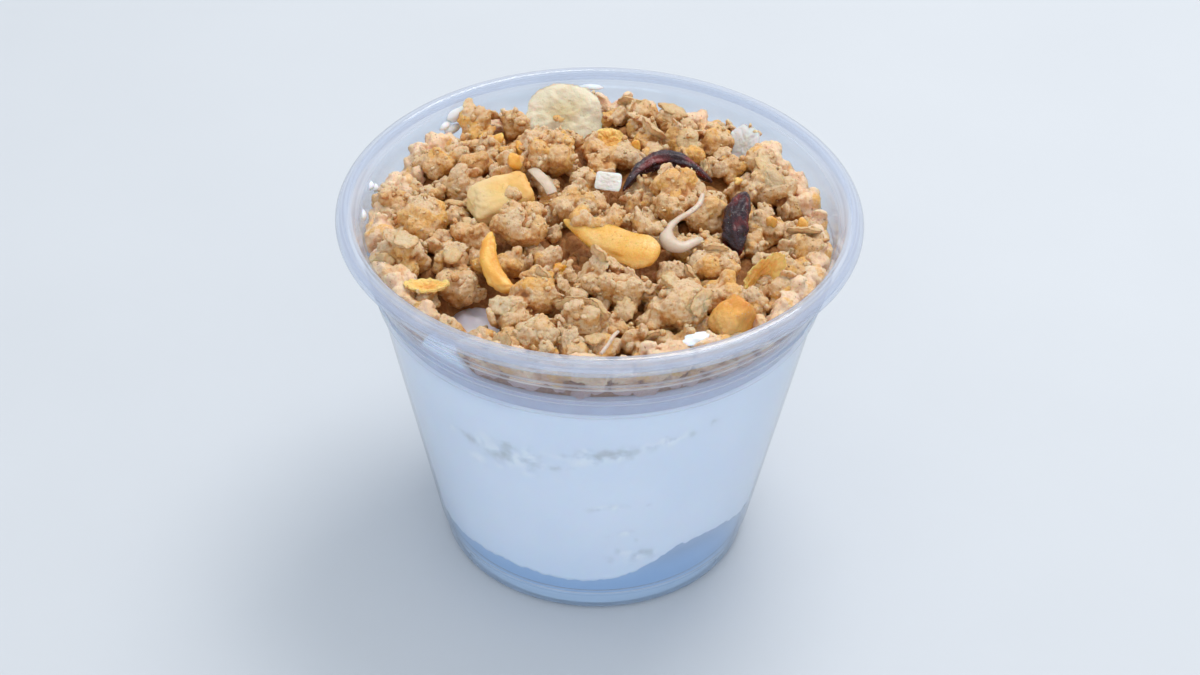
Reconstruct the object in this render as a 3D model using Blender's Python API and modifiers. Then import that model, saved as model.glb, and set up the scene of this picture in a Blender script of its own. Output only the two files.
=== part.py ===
"""Squat clear plastic cup of yogurt, heaped with granola, dried fruit and coconut.

Metres, +Z up. The origin is the centre of the cup's foot, on the surface that it
stands on. The side that faces the viewer is -Y.
"""
import math
import random

import bmesh
import bpy
from mathutils import Euler, Matrix, Vector, noise
from mathutils.bvhtree import BVHTree

OBJECT_NAME = "yogurt_granola_cup"

# Cup: a thin sheet, folded over at the lip and doubled back under the foot.
WALL = 0.0007                 # thickness of the sheet
TURN_STEPS = 36               # facets round every turned piece
FOOT_RADIUS = 0.0289          # outer radius of the tapered wall where it meets the table
WALL_SLOPE = 0.2003           # outward growth of the wall for each metre of height
STEP_HEIGHT = 0.0555          # where the wall steps out to the shoulder
STEP_OUT = 0.0005             # how far it steps out
SHOULDER_HEIGHT = 0.0612      # top of the shoulder, where the neck begins
RIDGE_HEIGHT = 0.0645         # thin ridge that the lid snaps under
RIDGE_PROUD = 0.0003
NECK_TOP = 0.0700
LIP_RADIUS = 0.0457           # centre of the rolled lip
LIP_HEIGHT = 0.0715
LIP_HALF_LENGTH = 0.00175     # half the lip's section, along and across its slope
LIP_HALF_DEPTH = 0.0009
LIP_TILT = math.radians(40)   # the lip slopes down and outward
LIP_FROM = math.radians(-80)  # sweep of the section, from its turned-in edge
LIP_TO = math.radians(190)
LIP_STEPS = 7
SKIRT_HEIGHT = 0.0050         # faint ring round the outside, level with the floor
SKIRT_STEP = 0.00025
FOOT_CORNER = 0.0009
FOOT_FLAT = 0.0012            # width of the flat ring that the cup stands on
FLAT_WITHIN = 0.00005         # what the thickening leaves uneven there is made level
FLOOR_RADIUS = 0.0255
FLOOR_HEIGHT = 0.0047         # middle of the sheet, at the floor's edge
FLOOR_CROWN = 0.0004

# Yogurt: fills the cup up to the granola, but leaves air in the corner at the foot.
GAP = 0.0003                  # clearance between pieces that touch
YOGURT_TOP = 0.0602
YOGURT_SWELL = 0.0010         # how far its top rises and falls
YOGURT_FLOOR_RADIUS = 0.0225
YOGURT_EDGE = 0.0070          # height of its ragged lower edge on the wall
YOGURT_EDGE_RISE = 0.0075     # and how much higher the edge is at one side
YOGURT_EDGE_AT = math.radians(-56)
YOGURT_EDGE_SPREAD = (math.radians(18), math.radians(38))
YOGURT_EDGE_RIPPLE = 0.0004
# Rings of the yogurt from its top's centre, down its side and in along the floor:
# shares of the top's radius, of the side's height from above, and of the floor's radius.
YOGURT_RINGS = ([("top", share) for share in (0.0, 0.4, 0.75, 0.96)]
                + [("side", index / 5) for index in range(6)]
                + [("slope", 0.4)]
                + [("floor", share) for share in (1.0, 0.5, 0.0)])

# Granola: a low core and the clusters that show, piled a little higher at the front.
HEAP_RADIUS = 0.0400
CORE_EDGE_TOP = 0.0630
CORE_RISE = 0.0036
HEAP_SHIFT = -0.0040          # the heap's top lies this far towards the front
BACK_DROP = 0.0012
HOLLOW_PLACE = (-0.0222, -0.0285)   # a gap between clusters, where yogurt shows
HOLLOW_RADIUS = 0.0050
HOLLOW_DEPTH = 0.0030
CORE_LEAST = 0.0006           # thickness of the core at the bottom of that gap
CORE_SEGMENTS = 24
CORE_RINGS = 10

# Clusters that lie beside the fruit, each with its place (x, y) and radius.
LEAD_CLUSTERS = (
    (0.0137, 0.0070, 0.0054), (0.0189, -0.0015, 0.0040), (0.0034, -0.0225, 0.0060),
    (0.0192, -0.0205, 0.0057), (0.0106, -0.0278, 0.0054), (-0.0300, -0.0029, 0.0056),
    (-0.0330, -0.0130, 0.0050), (-0.0142, -0.0074, 0.0050), (-0.0180, 0.0164, 0.0048),
    (-0.0099, 0.0186, 0.0048), (0.0039, 0.0169, 0.0042), (0.0004, 0.0010, 0.0046),
    (0.0345, -0.0076, 0.0058), (0.0301, 0.0126, 0.0054), (-0.0013, -0.0326, 0.0048),
    (-0.0115, -0.0275, 0.0054),
)
# The other lumps, largest first: how many, smallest radius, largest radius.
CLUSTER_SIZES = ((16, 0.0046, 0.0054), (42, 0.0031, 0.0041), (24, 0.0020, 0.0026))
CLUSTER_DETAIL = (2, 1, 1)    # icosphere subdivisions for each size
CLUSTER_SPACING = 0.72        # of the sum of two radii
CLUSTER_BUMP = 0.36           # unevenness, of the radius
LUMP_FLOOR = 0.0005           # least height of a lump above the yogurt
CLUSTER_LIFT = 0.15           # how far a lump's centre lies above the core, of its radius
TOPPING_SPACING = 0.72        # of a lump's radius, kept from the middle of a topping
FLAKE_COUNT = 10
FLAKE_RADIUS = 0.0038         # rolled oat
FLAKE_THICKNESS = 0.0009
TRIES = 2500
SEED = 7

# Toppings seen from above: x, y, azimuth of the length in degrees, length and width.
TOPPINGS = {
    "banana_chip": (-0.0070, 0.0350, 4, 0.0152, 0.0124),
    "pale_chip": (0.0268, 0.0262, -35, 0.0062, 0.0070),
    "pineapple_chunk": (-0.0178, 0.0040, 14, 0.0122, 0.0088),
    "mango_strip": (-0.0188, -0.0165, -66, 0.0120, 0.0042),
    "apple_slice": (0.0016, -0.0098, -33, 0.0198, 0.0094),
    "cranberry_back": (0.0112, 0.0160, 6, 0.0168, 0.0050),
    "cranberry_side": (0.0240, -0.0030, 82, 0.0125, 0.0056),
    "papaya_chunk": (0.0228, -0.0285, 34, 0.0082, 0.0066),
    "corn_flake_left": (-0.0296, -0.0200, 4, 0.0078, 0.0050),
    "corn_flake_right": (0.0281, -0.0150, 40, 0.0098, 0.0052),
    "corn_flake_back": (0.0014, 0.0268, 6, 0.0066, 0.0052),
    "coconut_chip": (0.0010, 0.0100, -6, 0.0048, 0.0042),
}
# Shred of coconut: its bends (x, y) and how far they lie above the core.
SHRED_BENDS = ((0.0178, 0.0018), (0.0160, -0.0018), (0.0136, -0.0046), (0.0119, -0.0068),
               (0.0116, -0.0090), (0.0128, -0.0108))
SHRED_RISE = 0.0048
SHRED_DIAMETER = 0.0012

TAU = 2 * math.pi


def wall_radius(height):
    """Outer radius of the plain tapered wall."""
    return FOOT_RADIUS + WALL_SLOPE * height


def outer_radius(height):
    """Outer radius of the cup's side at a height, with its step and its skirt."""
    radius = wall_radius(height)
    if height > STEP_HEIGHT:
        radius += STEP_OUT
    if height < SKIRT_HEIGHT:
        radius -= SKIRT_STEP
    return radius


def inner_radius(height):
    """Largest radius that clears the faceted inner face of the wall."""
    return (outer_radius(height) - WALL) * math.cos(math.pi / TURN_STEPS) - GAP


def lip_line():
    """Middle of the sheet round the lip, from its turned-in edge to the neck."""
    along = Vector((math.cos(LIP_TILT), -math.sin(LIP_TILT)))
    across = Vector((math.sin(LIP_TILT), math.cos(LIP_TILT)))
    centre = Vector((LIP_RADIUS, LIP_HEIGHT))
    line = []
    for index in range(LIP_STEPS + 1):
        angle = LIP_FROM + (LIP_TO - LIP_FROM) * index / LIP_STEPS
        line.append(centre + along * LIP_HALF_LENGTH * math.cos(angle)
                    + across * LIP_HALF_DEPTH * math.sin(angle))
    return [tuple(point) for point in line]


def cup_line():
    """Middle of the cup's sheet from lip to floor centre, as (radius, height)."""
    half = WALL / 2

    def side(height, proud=0.0):
        return (outer_radius(height) - half + proud, height)

    ridge_half = 0.0004
    step_half = 0.0003
    foot_outer = outer_radius(FOOT_CORNER) - half
    foot_inner = foot_outer - FOOT_CORNER - FOOT_FLAT
    leg_radius = foot_inner - FOOT_CORNER * 0.4
    line = lip_line()
    line.append(side(NECK_TOP))
    line.append(side(RIDGE_HEIGHT + ridge_half))
    line.append(side(RIDGE_HEIGHT, RIDGE_PROUD))
    line.append(side(RIDGE_HEIGHT - ridge_half))
    line.append(side(SHOULDER_HEIGHT + step_half))
    line.append(side(SHOULDER_HEIGHT, -RIDGE_PROUD))
    line.append(side(STEP_HEIGHT + step_half))
    line.append(side(STEP_HEIGHT - step_half))
    line.append(side(SKIRT_HEIGHT + step_half))
    line.append(side(SKIRT_HEIGHT - step_half))
    line.append(side(FOOT_CORNER))
    line.append((foot_outer - FOOT_CORNER * 0.3, half + FOOT_CORNER * 0.3))
    line.append((foot_outer - FOOT_CORNER, half))
    line.append((foot_inner, half))
    line.append((leg_radius, half + FOOT_CORNER))
    line.append((FLOOR_RADIUS + FOOT_CORNER * 0.4, FLOOR_HEIGHT - FOOT_CORNER))
    line.append((FLOOR_RADIUS - FOOT_CORNER, FLOOR_HEIGHT))
    line.append((0.0, FLOOR_HEIGHT + FLOOR_CROWN))
    return line


def yogurt_edge(azimuth):
    """Height on the wall of the yogurt's ragged lower edge."""
    turn = (azimuth - YOGURT_EDGE_AT + math.pi) % TAU - math.pi
    spread = YOGURT_EDGE_SPREAD[0] if turn < 0 else YOGURT_EDGE_SPREAD[1]
    rise = YOGURT_EDGE_RISE * math.exp(-(turn / spread) ** 2)
    return YOGURT_EDGE + rise + YOGURT_EDGE_RIPPLE * math.sin(5 * azimuth)


def yogurt_top(x, y):
    """Height of the yogurt's top."""
    wave = math.sin(70 * x + 0.6) + math.cos(60 * y - 0.4)
    return YOGURT_TOP + YOGURT_SWELL * wave / 2


def core_top(x, y):
    """Height of the bare core under the clusters."""
    out = (x * x + (y - HEAP_SHIFT) ** 2) / HEAP_RADIUS ** 2
    height = CORE_EDGE_TOP + CORE_RISE * (1 - out)
    height -= BACK_DROP * max(0.0, y) / HEAP_RADIUS
    apart = math.hypot(x - HOLLOW_PLACE[0], y - HOLLOW_PLACE[1]) / HOLLOW_RADIUS
    height -= HOLLOW_DEPTH * math.exp(-apart * apart)
    return max(height, yogurt_top(x, y) + GAP + CORE_LEAST)


def material(name, colour, roughness, metallic=0.0, alpha=1.0):
    """Principled material; colour is linear red, green and blue."""
    finish = bpy.data.materials.new(name)
    finish.use_nodes = True
    shader = finish.node_tree.nodes["Principled BSDF"]
    shader.inputs["Base Color"].default_value = (*colour, 1.0)
    shader.inputs["Roughness"].default_value = roughness
    shader.inputs["Metallic"].default_value = metallic
    shader.inputs["Alpha"].default_value = alpha
    finish.diffuse_color = (*colour, alpha)
    return finish


def add_object(name, mesh, finish=None, collection=None):
    """Object for a mesh, shaded smooth except at its sharp edges."""
    piece = bpy.data.objects.new(name, mesh)
    (collection or parts).objects.link(piece)
    if finish:
        mesh.materials.append(finish)
    mesh.shade_smooth()
    mesh.set_sharp_from_angle(angle=math.radians(50))
    return piece


def mesh_from(bm, name):
    """Mesh data of a bmesh, which is freed."""
    bmesh.ops.recalc_face_normals(bm, faces=bm.faces)
    mesh = bpy.data.meshes.new(name)
    bm.to_mesh(mesh)
    bm.free()
    return mesh


def turned(name, line, finish):
    """Profile of (radius, height) turned round Z by a Screw modifier."""
    mesh = bpy.data.meshes.new(name)
    points = [(radius, 0.0, height) for radius, height in line]
    edges = [(index, index + 1) for index in range(len(points) - 1)]
    mesh.from_pydata(points, edges, [])
    piece = add_object(name, mesh, finish)
    screw = piece.modifiers.new("turn", 'SCREW')
    screw.steps = TURN_STEPS
    screw.render_steps = TURN_STEPS
    screw.use_merge_vertices = True
    screw.merge_threshold = 0.00001
    screw.use_smooth_shade = True
    return piece


def made_mesh(piece):
    """Replace an object's modifiers by the mesh that they make."""
    bpy.context.view_layer.update()
    evaluated = piece.evaluated_get(bpy.context.evaluated_depsgraph_get())
    mesh = bpy.data.meshes.new_from_object(evaluated)
    piece.modifiers.clear()
    piece.data = mesh
    return mesh


def make_cup():
    """Sheet of the cup: the turned line, thickened to both sides."""
    clear = material("clear_plastic", (0.42, 0.60, 0.85), 0.12, alpha=0.35)
    cup = turned("cup", cup_line(), clear)
    shell = cup.modifiers.new("sheet", 'SOLIDIFY')
    shell.thickness = WALL
    shell.offset = 0.0
    shell.use_even_offset = True
    for vertex in made_mesh(cup).vertices:
        if vertex.co.z < FLAT_WITHIN:
            vertex.co.z = 0.0
    return cup


def yogurt_point(kind, share, azimuth):
    """Radius and height of the yogurt's skin on one of its rings."""
    floor = FLOOR_HEIGHT + FLOOR_CROWN + WALL / 2 + GAP
    edge = yogurt_edge(azimuth)
    if kind == "top":
        radius = share * HEAP_RADIUS
        return radius, yogurt_top(radius * math.cos(azimuth), radius * math.sin(azimuth))
    if kind == "side":
        rim = yogurt_top(HEAP_RADIUS * math.cos(azimuth), HEAP_RADIUS * math.sin(azimuth)) - GAP
        height = rim + (edge - rim) * share
        return inner_radius(height), height
    if kind == "slope":
        return (YOGURT_FLOOR_RADIUS + inner_radius(edge)) / 2, floor + (edge - floor) * share
    return share * YOGURT_FLOOR_RADIUS, floor


def make_yogurt():
    """Yogurt: a turned cage of rings, each set to its place on the uneven filling."""
    white = material("yogurt", (0.62, 0.70, 0.80), 0.45)
    last = len(YOGURT_RINGS) - 1
    cage = [(0.0 if row in (0, last) else 1.0, -float(row)) for row in range(last + 1)]
    yogurt = turned("yogurt", cage, white)
    for vertex in made_mesh(yogurt).vertices:
        kind, share = YOGURT_RINGS[round(-vertex.co.z)]
        azimuth = math.atan2(vertex.co.y, vertex.co.x)
        radius, height = yogurt_point(kind, share, azimuth)
        vertex.co = (radius * math.cos(azimuth), radius * math.sin(azimuth), height)
    return yogurt


def seat(name, mesh, tip, lift):
    """Tip a topping's mesh, turn it and set it down in its place, clear of the core.

    tip is the slope in degrees about its length, towards the viewer, and along it.
    """
    x, y, azimuth = TOPPINGS[name][:3]
    turn = Euler((math.radians(tip[0]), math.radians(tip[1]), math.radians(azimuth)))
    mesh.transform(turn.to_matrix().to_4x4())
    mesh.transform(Matrix.Translation((x, y, 0.0)))
    rest = max(core_top(v.co.x, v.co.y) - v.co.z for v in mesh.vertices)
    mesh.transform(Matrix.Translation((0.0, 0.0, rest + 2 * GAP + lift)))


def chip(name, finish, thickness, tip, curl=0.0, ripple=0.0, lift=0.0, grid=4):
    """Thin slice or flake: a round sheet, curled and rippled, with a thickness.

    curl bends the ends up by that height, and ripple waves the edge.
    """
    length, width = TOPPINGS[name][3:]
    bm = bmesh.new()
    bmesh.ops.create_grid(bm, x_segments=grid, y_segments=grid, size=1.0)
    for vertex in bm.verts:
        u, v = vertex.co.x, vertex.co.y
        x = u * math.sqrt(1 - v * v / 2)
        y = v * math.sqrt(1 - u * u / 2)
        uneven = 1 + 0.10 * noise.noise(Vector((x * 1.3, y * 1.3, length * 900)))
        height = curl * x * x + ripple * math.sin(4 * math.atan2(y, x)) * (x * x + y * y)
        vertex.co = (x * uneven * length / 2, y * uneven * width / 2, height)
    piece = add_object(name, mesh_from(bm, name), finish)
    sheet = piece.modifiers.new("sheet", 'SOLIDIFY')
    sheet.thickness = thickness
    sheet.offset = 0.0
    seat(name, made_mesh(piece), tip, lift)
    return piece


def pebble(name, finish, thickness, tip, bend=0.0, taper=0.0, bump=0.08, lift=0.0):
    """Plump or wrinkled piece: a round cage, stretched, tapered, bent and dented."""
    length, width = TOPPINGS[name][3:]
    bm = bmesh.new()
    bmesh.ops.create_uvsphere(bm, u_segments=10, v_segments=8, radius=1.0,
                              matrix=Matrix.Rotation(math.pi / 2, 4, 'Y'))
    for vertex in bm.verts:
        x, y, z = vertex.co
        uneven = 1 + bump * noise.noise(vertex.co * 1.7 + Vector((length * 900, 0, 0)))
        narrow = (1 - taper * (1 - x) / 2) * uneven
        vertex.co = (x * length / 2, y * narrow * width / 2 + bend * x * x,
                     z * narrow * thickness / 2)
    piece = add_object(name, mesh_from(bm, name), finish)
    seat(name, piece.data, tip, lift)
    return piece


def chunk(name, finish, thickness, tip, lift=0.0):
    """Cut cube of fruit with soft edges, narrower at its top."""
    length, width = TOPPINGS[name][3:]
    bm = bmesh.new()
    bmesh.ops.create_cube(bm, size=1.0)
    for vertex in bm.verts:
        x, y, z = vertex.co
        narrow = 0.86 if z > 0 else 1.0
        skew = 0.10 * z
        vertex.co = ((x * narrow + skew) * length, y * narrow * width, z * thickness)
    piece = add_object(name, mesh_from(bm, name), finish)
    soft = piece.modifiers.new("soft_edges", 'BEVEL')
    soft.width = thickness * 0.22
    soft.segments = 2
    soft.limit_method = 'NONE'
    seat(name, made_mesh(piece), tip, lift)
    return piece


def strand(name, finish, bends, rise, diameter):
    """Shred of coconut: a thin tube along a curve that keeps its height over the core."""
    curve = bpy.data.curves.new(name, 'CURVE')
    curve.dimensions = '3D'
    curve.bevel_depth = diameter / 2
    curve.bevel_resolution = 1
    curve.use_fill_caps = True
    spline = curve.splines.new('POLY')
    spline.points.add(len(bends) - 1)
    for point, (x, y) in zip(spline.points, bends):
        point.co = (x, y, core_top(x, y) + rise, 1.0)
    guide = bpy.data.objects.new(name + "_guide", curve)
    parts.objects.link(guide)
    bpy.context.view_layer.update()
    evaluated = guide.evaluated_get(bpy.context.evaluated_depsgraph_get())
    bm = bmesh.new()
    bm.from_mesh(bpy.data.meshes.new_from_object(evaluated))
    bmesh.ops.remove_doubles(bm, verts=bm.verts, dist=0.00001)
    bpy.data.objects.remove(guide)
    return add_object(name, mesh_from(bm, name), finish)


def make_toppings():
    """Dried fruit, flakes and coconut that lie on the core among the clusters."""
    banana = material("banana_chip", (0.72, 0.62, 0.38), 0.45)
    pineapple = material("dried_pineapple", (0.82, 0.58, 0.20), 0.35)
    mango = material("dried_mango", (0.78, 0.42, 0.07), 0.30)
    apple = material("dried_apple", (0.80, 0.47, 0.10), 0.28)
    papaya = material("dried_papaya", (0.72, 0.36, 0.06), 0.40)
    berry = material("dried_cranberry", (0.045, 0.010, 0.016), 0.28)
    corn = material("corn_flake", (0.75, 0.43, 0.09), 0.55)
    coconut = material("coconut", (0.78, 0.72, 0.62), 0.50)
    return [
        chip("banana_chip", banana, 0.0016, (40, 0), ripple=0.0006),
        chip("pale_chip", banana, 0.0010, (48, 0), curl=0.0006, lift=0.0015),
        chunk("pineapple_chunk", pineapple, 0.0056, (20, -4)),
        pebble("mango_strip", mango, 0.0036, (10, 32), bend=0.0016, lift=0.0004),
        pebble("apple_slice", apple, 0.0044, (30, 0), bend=0.0012, taper=0.60, lift=0.0016),
        pebble("cranberry_back", berry, 0.0050, (25, 0), bend=-0.0052, bump=0.25, lift=0.0020),
        pebble("cranberry_side", berry, 0.0056, (0, -32), bend=-0.0012, bump=0.25, lift=0.0004),
        pebble("papaya_chunk", papaya, 0.0056, (0, -20), bump=0.35, lift=0.0006),
        chip("corn_flake_left", corn, 0.0008, (-12, 0), curl=0.0008, lift=0.0018),
        chip("corn_flake_right", corn, 0.0009, (46, -28), curl=0.0016, lift=0.0004),
        chip("corn_flake_back", corn, 0.0009, (26, 0), curl=0.0010, lift=0.0016),
        chip("coconut_chip", coconut, 0.0009, (38, 0), lift=0.0024, grid=3),
        strand("coconut_shred", coconut, SHRED_BENDS, SHRED_RISE, SHRED_DIAMETER),
    ]


def make_core(finish):
    """Bare core of the heap: a round cage set to the yogurt below and the heap above."""
    bm = bmesh.new()
    bmesh.ops.create_uvsphere(bm, u_segments=CORE_SEGMENTS, v_segments=CORE_RINGS, radius=1.0)
    reach = inner_radius(YOGURT_TOP) - GAP
    for vertex in bm.verts:
        x, y = vertex.co.x * reach, vertex.co.y * reach
        low = yogurt_top(x, y) + GAP
        high = core_top(x, y)
        row = round(vertex.co.z * CORE_RINGS)
        vertex.co = (x, y, low if row < 0 else high if row > 0 else (low + high) / 2)
    return add_object("granola", mesh_from(bm, "granola"), finish)


def confine(bm):
    """Keep a lump's points inside the cup's wall and above the yogurt."""
    for vertex in bm.verts:
        x, y, z = vertex.co
        z = max(z, yogurt_top(x, y) + LUMP_FLOOR)
        out = math.hypot(x, y)
        reach = inner_radius(z) - GAP
        if out > reach:
            x, y = x * reach / out, y * reach / out
        vertex.co = (x, y, z)


def clears(bm, obstacles):
    """Whether a lump keeps its distance from every topping."""
    tree = BVHTree.FromBMesh(bm)
    for other, points in obstacles:
        if tree.overlap(other):
            return False
        if any(other.find_nearest(v.co, 2 * GAP)[0] for v in bm.verts):
            return False
        if any(tree.find_nearest(point, 2 * GAP)[0] for point in points):
            return False
    return True


def topping_spots():
    """Circles, as (x, y, radius), that cover each topping seen from above."""
    spots = []
    for x, y, azimuth, length, width in TOPPINGS.values():
        radius = min(length, width) / 2
        reach = length / 2 - radius
        turn = math.radians(azimuth)
        for share in (-1.0, 0.0, 1.0) if reach > radius else (0.0,):
            spots.append((x + share * reach * math.cos(turn),
                          y + share * reach * math.sin(turn), radius))
    spots += [(x, y, SHRED_DIAMETER / 2) for x, y in SHRED_BENDS]
    return spots


def cluster_sites():
    """Places of all lumps as (x, y, radius, detail), largest first."""
    draw = random.Random(SEED)
    spots = topping_spots()
    sites = [(x, y, radius, CLUSTER_DETAIL[0]) for x, y, radius in LEAD_CLUSTERS]
    for (count, smallest, largest), detail in zip(CLUSTER_SIZES, CLUSTER_DETAIL):
        wanted = len(sites) + count
        for _ in range(TRIES):
            if len(sites) == wanted:
                break
            radius = draw.uniform(smallest, largest)
            out = (HEAP_RADIUS - radius * 0.55) * math.sqrt(draw.random())
            azimuth = draw.uniform(0, TAU)
            x, y = out * math.cos(azimuth), out * math.sin(azimuth)
            apart = math.hypot(x - HOLLOW_PLACE[0], y - HOLLOW_PLACE[1])
            if apart < HOLLOW_RADIUS + radius * 0.5:
                continue
            if any(math.hypot(x - sx, y - sy) < TOPPING_SPACING * radius + spot
                   for sx, sy, spot in spots):
                continue
            if any(math.hypot(x - sx, y - sy) < CLUSTER_SPACING * (radius + other)
                   for sx, sy, other, _ in sites):
                continue
            sites.append((x, y, radius, detail))
    return sites


def lump_mesh(draw, radius, detail):
    """Craggy lump about its own centre: an icosphere pushed in and out."""
    bm = bmesh.new()
    bmesh.ops.create_icosphere(bm, subdivisions=detail, radius=1.0)
    offset = Vector((draw.random(), draw.random(), draw.random())) * 50
    squash = Vector((draw.uniform(0.95, 1.15), draw.uniform(0.85, 1.0), draw.uniform(0.8, 0.95)))
    for vertex in bm.verts:
        uneven = 1 + CLUSTER_BUMP * noise.noise(vertex.co * 1.9 + offset)
        vertex.co = vertex.co * squash * uneven * radius
    return bm


def flake_mesh():
    """Rolled oat about its own centre: a thin round slab with few sides."""
    bm = bmesh.new()
    bmesh.ops.create_cone(bm, cap_ends=True, segments=8, radius1=FLAKE_RADIUS,
                          radius2=FLAKE_RADIUS * 0.9, depth=FLAKE_THICKNESS)
    return bm


def scatter(toppings):
    """Lumps and flakes over the core, largest first, as meshes in place."""
    obstacles = []
    for piece in toppings:
        bm = bmesh.new()
        bm.from_mesh(piece.data)
        obstacles.append((BVHTree.FromBMesh(bm), [vertex.co.copy() for vertex in bm.verts]))
        bm.free()
    draw = random.Random(SEED + 1)
    sites = cluster_sites()
    meshes = []

    def put(bm, place):
        """Keep a lump that fits, made smaller where a topping is in its way."""
        for _ in range(4):
            trial = bm.copy()
            trial.transform(Matrix.Translation(place))
            confine(trial)
            if clears(trial, obstacles):
                meshes.append(mesh_from(trial, "lump"))
                break
            trial.free()
            bm.transform(Matrix.Scale(0.84, 4))
        bm.free()

    for x, y, radius, detail in sites:
        bm = lump_mesh(draw, radius, detail)
        spin = Euler((draw.uniform(-0.5, 0.5), draw.uniform(-0.5, 0.5), draw.uniform(0, TAU)))
        bm.transform(spin.to_matrix().to_4x4())
        put(bm, (x, y, core_top(x, y) + CLUSTER_LIFT * radius))
    flake_hosts = draw.sample([site for site in sites if site[2] > FLAKE_RADIUS], FLAKE_COUNT)
    for x, y, radius, _ in flake_hosts:
        bm = flake_mesh()
        spin = Euler((draw.uniform(-0.7, 0.7), draw.uniform(-0.7, 0.7), draw.uniform(0, TAU)))
        bm.transform(spin.to_matrix().to_4x4())
        lean = draw.uniform(0, TAU)
        out = 0.4 * radius
        rise = core_top(x, y) + (CLUSTER_LIFT + 0.62) * radius
        put(bm, (x + out * math.cos(lean), y + out * math.sin(lean), rise))
    return meshes


def keep_largest(mesh):
    """Drop loose scraps and the walls of sealed hollows: all but the largest shell."""
    bm = bmesh.new()
    bm.from_mesh(mesh)
    left = set(bm.verts)
    shells = []
    while left:
        shell = {left.pop()}
        front = list(shell)
        while front:
            vertex = front.pop()
            for edge in vertex.link_edges:
                other = edge.other_vert(vertex)
                if other not in shell:
                    shell.add(other)
                    front.append(other)
        left -= shell
        shells.append(shell)
    largest = max(shells, key=len)
    bmesh.ops.delete(bm, geom=[v for v in bm.verts if v not in largest], context='VERTS')
    bm.to_mesh(mesh)
    bm.free()


def make_granola(toppings):
    """Heap of granola: the core with its clusters fused on."""
    tan = material("granola", (0.52, 0.32, 0.15), 0.75)
    granola = make_core(tan)
    pieces = bpy.data.collections.new("granola_lumps")
    bpy.context.scene.collection.children.link(pieces)
    for mesh in scatter(toppings):
        add_object("lump", mesh, None, pieces)
    fuse = granola.modifiers.new("fuse", 'BOOLEAN')
    fuse.operation = 'UNION'
    fuse.operand_type = 'COLLECTION'
    fuse.collection = pieces
    fuse.solver = 'EXACT'
    keep_largest(made_mesh(granola))
    for lump in list(pieces.objects):
        bpy.data.objects.remove(lump)
    bpy.data.collections.remove(pieces)
    return granola


for old in list(bpy.data.objects):
    bpy.data.objects.remove(old)
parts = bpy.data.collections.new(OBJECT_NAME)
bpy.context.scene.collection.children.link(parts)

make_cup()
make_yogurt()
make_granola(make_toppings())
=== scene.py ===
# %% [markdown]
# # A cup of yogurt with granola
#
# The object is a squat clear plastic cup, filled with white yogurt and heaped with granola
# clusters, rolled oats, dried fruit, corn flakes and coconut. A CAD model already holds the
# cup, the yogurt, a plain heap and thirteen toppings as simple solids. Here each of them
# gets its real surface. Everything is in metres, +Z is up and the viewer stands at -Y.

# %% Load the fixed frame
import math
import random

import bmesh
import bpy
import numpy as np
from mathutils import Euler, Matrix, Vector, noise
from mathutils.bvhtree import BVHTree
from mathutils.kdtree import KDTree


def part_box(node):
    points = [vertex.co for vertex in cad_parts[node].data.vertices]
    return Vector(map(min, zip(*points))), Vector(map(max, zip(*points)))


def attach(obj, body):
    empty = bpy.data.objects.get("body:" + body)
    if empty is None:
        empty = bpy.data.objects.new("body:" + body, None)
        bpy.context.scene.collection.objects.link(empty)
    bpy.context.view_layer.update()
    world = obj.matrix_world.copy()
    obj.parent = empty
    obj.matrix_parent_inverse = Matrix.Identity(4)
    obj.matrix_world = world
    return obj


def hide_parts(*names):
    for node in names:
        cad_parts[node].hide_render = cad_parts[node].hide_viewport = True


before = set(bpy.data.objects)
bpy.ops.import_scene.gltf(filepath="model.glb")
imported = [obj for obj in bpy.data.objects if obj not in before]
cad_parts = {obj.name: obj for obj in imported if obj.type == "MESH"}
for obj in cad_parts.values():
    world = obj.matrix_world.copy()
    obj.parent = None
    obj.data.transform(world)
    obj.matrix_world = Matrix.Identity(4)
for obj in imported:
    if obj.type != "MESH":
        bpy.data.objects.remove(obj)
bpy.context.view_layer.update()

TAU = 2 * math.pi
print("CAD nodes:", ", ".join(sorted(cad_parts)))

# %% [markdown]
# ## The camera
#
# The photograph looks down on the cup at about 38 degrees through a long lens. The camera
# could be moved by eye, but the lip and the foot are circles, so their ellipses in the
# picture fix its height, its distance and its slight roll by calculation.

# %% Camera
VIEW_RISE = math.radians(38.39)
VIEW_DISTANCE = 0.4785
AIM_HEIGHT = 0.035
LENS = 76.8
PITCH, YAW, ROLL = (math.radians(angle) for angle in (-0.64, 0.07, 1.09))

camera = bpy.data.objects.new("camera", bpy.data.cameras.new("camera"))
bpy.context.scene.collection.objects.link(camera)
camera.data.lens = LENS
camera.matrix_world = (
    Matrix.Translation((0, -VIEW_DISTANCE * math.cos(VIEW_RISE),
                        AIM_HEIGHT + VIEW_DISTANCE * math.sin(VIEW_RISE)))
    @ Matrix.Rotation(-YAW, 4, 'Z')
    @ Matrix.Rotation(math.pi / 2 - VIEW_RISE - PITCH, 4, 'X')
    @ Matrix.Rotation(ROLL, 4, 'Z'))
bpy.context.scene.camera = camera
print("camera at", [round(value, 4) for value in camera.matrix_world.translation])

# %% [markdown]
# ## Writing shaders as sums
#
# A procedural material is a graph of nodes, and most of its nodes are plain arithmetic.
# Wiring them one by one hides the idea, so a small class wraps a socket: adding or
# multiplying wrapped sockets in Python adds the Math nodes. A second class holds one
# material and adds every other kind of node through a single method.


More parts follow.
